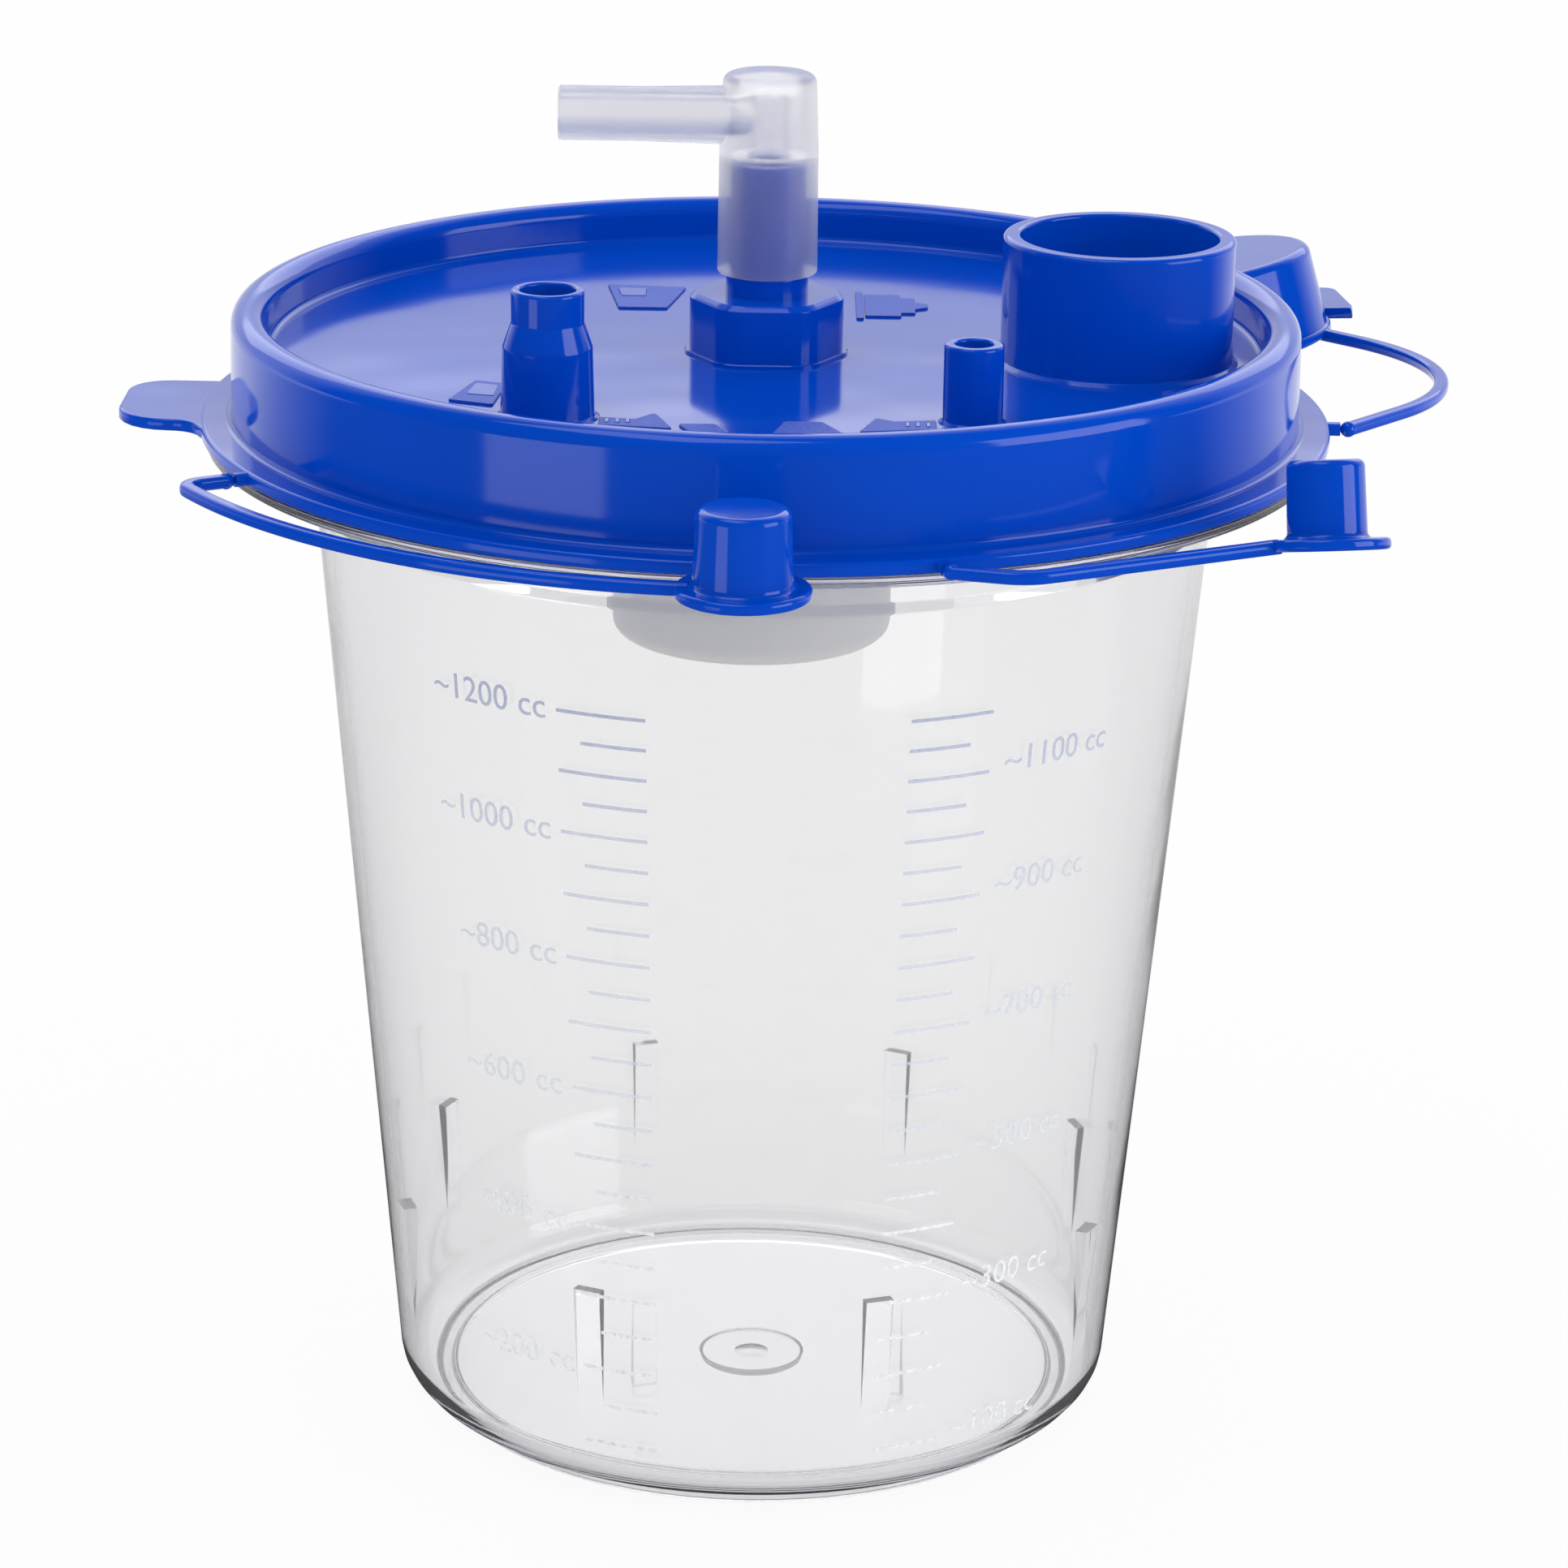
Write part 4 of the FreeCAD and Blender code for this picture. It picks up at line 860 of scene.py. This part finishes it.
TAB_INSIDE, TAB_CORNER = 76.4, 81.0
tab = rounded([
    (TAB_INSIDE, -11.65), (92.0, -11.65, 6.0), (92.0, 11.65, 8.0), (TAB_CORNER, 11.65, 4.5),
    (TAB_INSIDE, 20.85),
])
points, faces = plate_grid(tab, edge_levels(SEAT + 0.2, SEAT + 1.9, 0.45))
make_piece("lift_tab", spun(points, 179.0), faces, BLUE, "lid")
print("boss top at", round(BOSS_TOP, 1), "mm")

# %% [markdown]
# ## Straps and caps
#
# A strap is a rounded bar swept along its path. Paths are the same runs and arcs as in the
# CAD. Each cap is turned, and those on the longer straps lean over as the photograph shows.

# %% Strap helpers
STRAP_WIDTH, STRAP_THICKNESS, PIVOT_RADIUS = 2.2, 1.8, 83.2
STRAP_HEIGHT = SEAT + 1.0
LUG_END = 82.03


def arc_points(centre, radius, start, end, count):
    """Points at even angles, in degrees, on a level circle."""
    t = np.radians(np.linspace(start, end, count))
    return np.stack([centre[0] + radius * np.cos(t), centre[1] + radius * np.sin(t)], 1)


def sweep_grid(path, across, upward):
    """A rounded section carried along a path: point + x times across + y times upward."""
    wide, high = STRAP_WIDTH / 2, STRAP_THICKNESS / 2
    section = rounded([
        (-wide, -high, 0.7), (wide, -high, 0.7), (wide, high, 0.7), (-wide, high, 0.7)
    ])
    points = (path[:, None] + section[None, :, :1] * across[:, None]
              + section[None, :, 1:] * upward[:, None])
    rows, columns = points.shape[:2]
    faces = grid_faces(rows, columns, False, True).tolist()
    faces.append(list(range(columns)))
    faces.append(list(range(rows * columns - 1, (rows - 1) * columns - 1, -1)))
    return points.reshape(-1, 3), faces


def tipped(points, way, angle):
    """The vertical tips over towards a direction by an angle, about the origin."""
    side = math.radians(way + 90)
    turn = Matrix.Rotation(math.radians(angle), 3, (math.cos(side), math.sin(side), 0))
    return np.asarray(points) @ np.array(turn).T


def along_path(flat_path):
    """Sideways unit vectors of a level path."""
    ahead = np.gradient(flat_path, axis=0)
    ahead /= np.linalg.norm(ahead, axis=1, keepdims=True)
    return np.column_stack([ahead[:, 1], -ahead[:, 0], np.zeros(len(ahead))])


def pivot(angle):
    """Where a strap's root stands, at an angle round the lid."""
    t = math.radians(angle)
    return (PIVOT_RADIUS * math.cos(t), PIVOT_RADIUS * math.sin(t), STRAP_HEIGHT)


def strap(name, flat_path, angle, body, way=0, lean=0):
    """The path lies in the strap's own frame, which stands at its root."""
    path = np.column_stack([flat_path, np.zeros(len(flat_path))])
    across = along_path(flat_path)
    upward = np.tile([0.0, 0.0, 1.0], (len(path), 1))
    points, faces = sweep_grid(path, across, upward)
    return make_piece(name, spun(tipped(points, way, lean), angle, pivot(angle)), faces, BLUE,
                      body)


def cap(name, section, at, angle, body, way=0, lean=0, segments=128):
    """Turned about its own axis, tipped, then set out from the strap's root."""
    points, faces = turned_grid(section, segments=segments)
    points = tipped(points, way, lean) + np.array(at)
    return make_piece(name, spun(points, angle, pivot(angle)), faces, BLUE, body)


def lug(name, angle):
    """Short stub of the strap's own section, from the flange to the strap's root."""
    path = np.array([(78.4, 0.0, STRAP_HEIGHT), (LUG_END, 0.0, STRAP_HEIGHT)])
    across = np.tile([0.0, -1.0, 0.0], (2, 1))
    points, faces = sweep_grid(path, across, np.tile([0.0, 0.0, 1.0], (2, 1)))
    return make_piece(name, spun(points, angle), faces, BLUE, "lid")


def ball(name, angle, body):
    """Rounded root of the strap."""
    t = np.linspace(-math.pi / 2, math.pi / 2, 13)
    section = [(1.15 * math.cos(a), 1.15 * math.sin(a)) for a in t]
    return cap(name, section, (0, 0, 0), angle, body, segments=32)


def small_cap(root, top, height, brim, inner):
    """Brim, drafted wall, rounded top and the hollow that goes over a port."""
    return [
        (inner, 0, 0.3), (brim, 0, 0.6), (brim, 1.6, 0.6), (root, 1.6, 0.8),
        (top, height, 1.0), (0, height), (0, height - 1.3), (inner, height - 1.3, 0.5),
    ]


# %% Patient cap
PATIENT_SPIN, PATIENT_RING, PATIENT_TURN = -151.5, 89.7, 2.6
leg = math.sqrt((PATIENT_RING - PATIENT_TURN) ** 2 - PATIENT_TURN ** 2) - PIVOT_RADIUS
join = math.degrees(math.atan2(PATIENT_TURN, leg + PIVOT_RADIUS))
stop = 59.9 - math.degrees(7.0 / PATIENT_RING)
path = np.concatenate([
    [(0.0, 0.0)],
    arc_points((leg, PATIENT_TURN), PATIENT_TURN, -90, join, 12),
    arc_points((-PIVOT_RADIUS, 0), PATIENT_RING, join, stop, 90)[1:],
])
strap("patient_strap", path, PATIENT_SPIN, "patient_cap")
at = (PATIENT_RING * math.cos(math.radians(59.9)) - PIVOT_RADIUS,
      PATIENT_RING * math.sin(math.radians(59.9)), -0.9)
patient_cap = cap("patient_cap_moulding", small_cap(6.6, 6.1, 11.8, 8.9, 5.05), at, PATIENT_SPIN,
                  "patient_cap")
ball("patient_strap_root", PATIENT_SPIN, "patient_cap")
lug("patient_lug", PATIENT_SPIN)
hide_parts("patient_cap")

# %% Tandem cap
TANDEM_SPIN = -73.0
path = rounded([(0, 0), (5.3, 8.5, 8.0), (-1.2, 52.8 - 7.0)], closed=False)
strap("tandem_strap", path, TANDEM_SPIN, "tandem_cap")
tandem_cap = cap("tandem_cap_moulding", small_cap(5.35, 5.15, 12.0, 8.4, 4.2),
                 (-1.2, 52.8, -1.0), TANDEM_SPIN, "tandem_cap", 172.6, 15.2)
ball("tandem_strap_root", TANDEM_SPIN, "tandem_cap")
lug("tandem_lug", TANDEM_SPIN)
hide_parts("tandem_cap")

# %% Ortho cap
ORTHO_SPIN, LOOP = -1.5, 41.3
ORTHO_CAP_AT, ORTHO_LEAN = (-15.8, 74.3, -6.3), (168.6, 11.1)
first, second = 54.2, 54.2 + 77.7
heading = np.radians([first, second])
start = np.array([math.cos(heading[0]), math.sin(heading[0])]) * 14.6
middle = start + LOOP * np.array([-math.sin(heading[0]), math.cos(heading[0])])
loop = arc_points(middle, LOOP, first - 90, second - 90, 40)
last = loop[-1] + 8.6 * np.array([math.cos(heading[1]), math.sin(heading[1])])
path = np.concatenate([[(0.0, 0.0)], [start * 0.5], loop, [loop[-1] * 0.5 + last * 0.5], [last]])
chord = math.degrees(math.atan2(ORTHO_CAP_AT[1], ORTHO_CAP_AT[0]))
strap("ortho_strap", path, ORTHO_SPIN, "ortho_cap", chord, 2.1)
ortho_cap = cap("ortho_cap_moulding", [
    (17.3, 0), (19.1, 0, 0.6), (19.1, 1.6, 0.5), (18.6, 1.6), (17.5, 14.0, 1.5), (0, 14.0),
    (0, 12.7), (16.2, 12.7, 1.0),
], ORTHO_CAP_AT, ORTHO_SPIN, "ortho_cap", *ORTHO_LEAN, segments=160)
TAB_WAY = 51.5
outline = rounded([
    (17.2, -15.4), (19.6, -13.9, 6.0), (33.8, 0, 6.0), (19.6, 13.9, 6.0), (17.2, 15.4)
])
points, faces = plate_grid(outline, edge_levels(0.0, 1.8, 0.45))
points = tipped(spun(points, TAB_WAY), *ORTHO_LEAN) + np.array(ORTHO_CAP_AT)
make_piece("ortho_pull_tab", spun(points, ORTHO_SPIN, pivot(ORTHO_SPIN)), faces, BLUE,
           "ortho_cap")
ball("ortho_strap_root", ORTHO_SPIN, "ortho_cap")
lug("ortho_lug", ORTHO_SPIN)
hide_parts("ortho_cap")
print("caps made")

# %% [markdown]
# ## Elbow
#
# The elbow is one hollow moulding: a long skirt over the spigot, a domed head and a side tube
# with a light taper. The outer forms are joined first and the hollows are cut afterwards.

# %% Elbow
SKIRT = NECK_TOP + 0.1
TUBE_AXIS, TUBE_END = SKIRT + 22.22, -29.55


def turned_along_x(name, corners, material):
    """Section (x, r) carried round the tube's own axis."""
    section = rounded(corners)
    t = np.linspace(0, 2 * math.pi, 96, endpoint=False)
    x, radius = section[:, :1], section[:, 1:]
    points = np.stack([
        np.broadcast_to(x, (len(section), len(t))), BOSS_AT[1] + radius * np.cos(t),
        TUBE_AXIS + radius * np.sin(t),
    ], -1).reshape(-1, 3)
    return make_piece(name, points, grid_faces(len(section), len(t), True, True), material,
                      None)


elbow = turned("frosted_elbow", [
    (0, SKIRT), (7.08, SKIRT, 0.35), (6.98, SKIRT + 17.37, 2.0), (6.55, SKIRT + 28.24, 1.36),
    (0, SKIRT + 28.24),
], FROSTED, "elbow", centre=(*BOSS_AT, 0), segments=128)
tube = turned_along_x("tube", [
    (0, 0), (TUBE_END, 0), (TUBE_END, 3.83, 0.4), (TUBE_END + 11.6, 3.83, 0.3), (0, 4.27),
], FROSTED)
carved(elbow, [tube], "UNION")
hollow = turned("hollow", [
    (0, SKIRT - 1), (5.34, SKIRT - 1), (5.34, SKIRT + 16.71, 0.4), (3.2, SKIRT + 16.71),
    (3.2, SKIRT + 25.52, 0.5), (0, SKIRT + 25.52),
], FROSTED, None, centre=(*BOSS_AT, 0), segments=96)
bore = turned_along_x("bore", [(0, 0), (TUBE_END - 1, 0), (TUBE_END - 1, 2.8), (0, 2.8)], FROSTED)
carved(elbow, [hollow])
carved(elbow, [bore])
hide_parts("elbow")
print("elbow faces:", len(elbow.data.polygons))

# %% [markdown]
# ## Signs on the deck
#
# Small wordless signs tell what each port is for: a basin, a bottle, a bowl and two arrows.
# They are low raised plates with a matt skin, so they stay blue where the deck mirrors white.
# Polished windows and ticks on them mirror the room as the deck does.

# %% Deck signs
SIGN_RISE = 0.3


def sign(name, outline, rounding=0.4, rise=SIGN_RISE, material=BLUE_MATT):
    """A plate sunk a little into the deck, with a small chamfer at its top."""
    corners = rounded([(*corner, rounding) for corner in outline])
    points, faces = plate_grid(corners, [
        (DECK - 0.3, 0), (DECK + rise - 0.08, 0), (DECK + rise, 0.08)
    ])
    return make_piece(name, points, faces, material, "lid")


sign("sign_basin", [(-21.7, 23.5), (-14.6, 23.5), (-12.0, 36.9), (-23.7, 38.4)])
sign("sign_bottle", [
    (14.4, 20.2), (19.7, 20.2), (19.7, 22.3), (21.8, 22.3), (21.8, 24.8), (23.7, 25.9),
    (23.7, 28.1), (21.8, 29.2), (21.8, 31.7), (19.7, 31.7), (19.7, 33.8), (14.4, 33.8),
])
sign("sign_bottle_foot", [(13.1, 18.6), (14.2, 18.6), (14.2, 35.6), (13.1, 35.6)])
sign("sign_bowl", [(-43.3, -33.2), (-37.1, -35.7), (-35.8, -23.9), (-40.2, -22.3)])
sign("sign_arrow_left", [
    (-22.4, -45.8), (-12.4, -47.3), (-14.9, -39.0), (-17.5, -42.5), (-22.4, -41.7),
])
sign("sign_arrow_right", [
    (12.6, -47.7), (23.1, -45.8), (23.1, -40.9), (17.5, -41.9), (15.0, -40.0),
])
sign("sign_plate", [(0.8, -50.1), (11.0, -49.8), (7.7, -42.6), (2.6, -42.7)])
sign("sign_plate_small", [(-9.9, -49.5), (-5.2, -49.3), (-6.6, -44.6), (-11.7, -44.8)])

GLOSS_RISE = SIGN_RISE + 0.1
sign("basin_window", [
    (-21.5, 30.6), (-17.8, 30.6), (-17.8, 35.4), (-22.1, 35.6),
], 0.3, GLOSS_RISE, BLUE)
sign("bowl_window", [
    (-41.0, -30.2), (-37.2, -31.2), (-36.8, -25.2), (-40.0, -24.2),
], 0.3, GLOSS_RISE, BLUE)
for number in range(3):
    for side, x in (("left", -21.6 + 1.4 * number), ("right", 18.9 + 1.4 * number)):
        sign(f"tick_{side}_{number}", [
            (x, -44.7), (x + 0.6, -44.7), (x + 0.6, -42.7), (x, -42.7),
        ], 0.15, GLOSS_RISE, BLUE)

# %% [markdown]
# ## Parts that stay as the CAD made them
#
# The valve's drum, float, seal, seat plate and filter keep their CAD meshes and only get
# their materials.

# %% Finishes on the CAD nodes
CAD_FINISHES = {
    "float_housing": NATURAL, "float": NATURAL, "seat_plate": NATURAL,
    "filter_disc": FELT, "valve_seal": RUBBER,
}
for node, material in CAD_FINISHES.items():
    for place in nodes[node].material_slots:
        place.material = material
print("CAD nodes shown:", len(CAD_FINISHES))
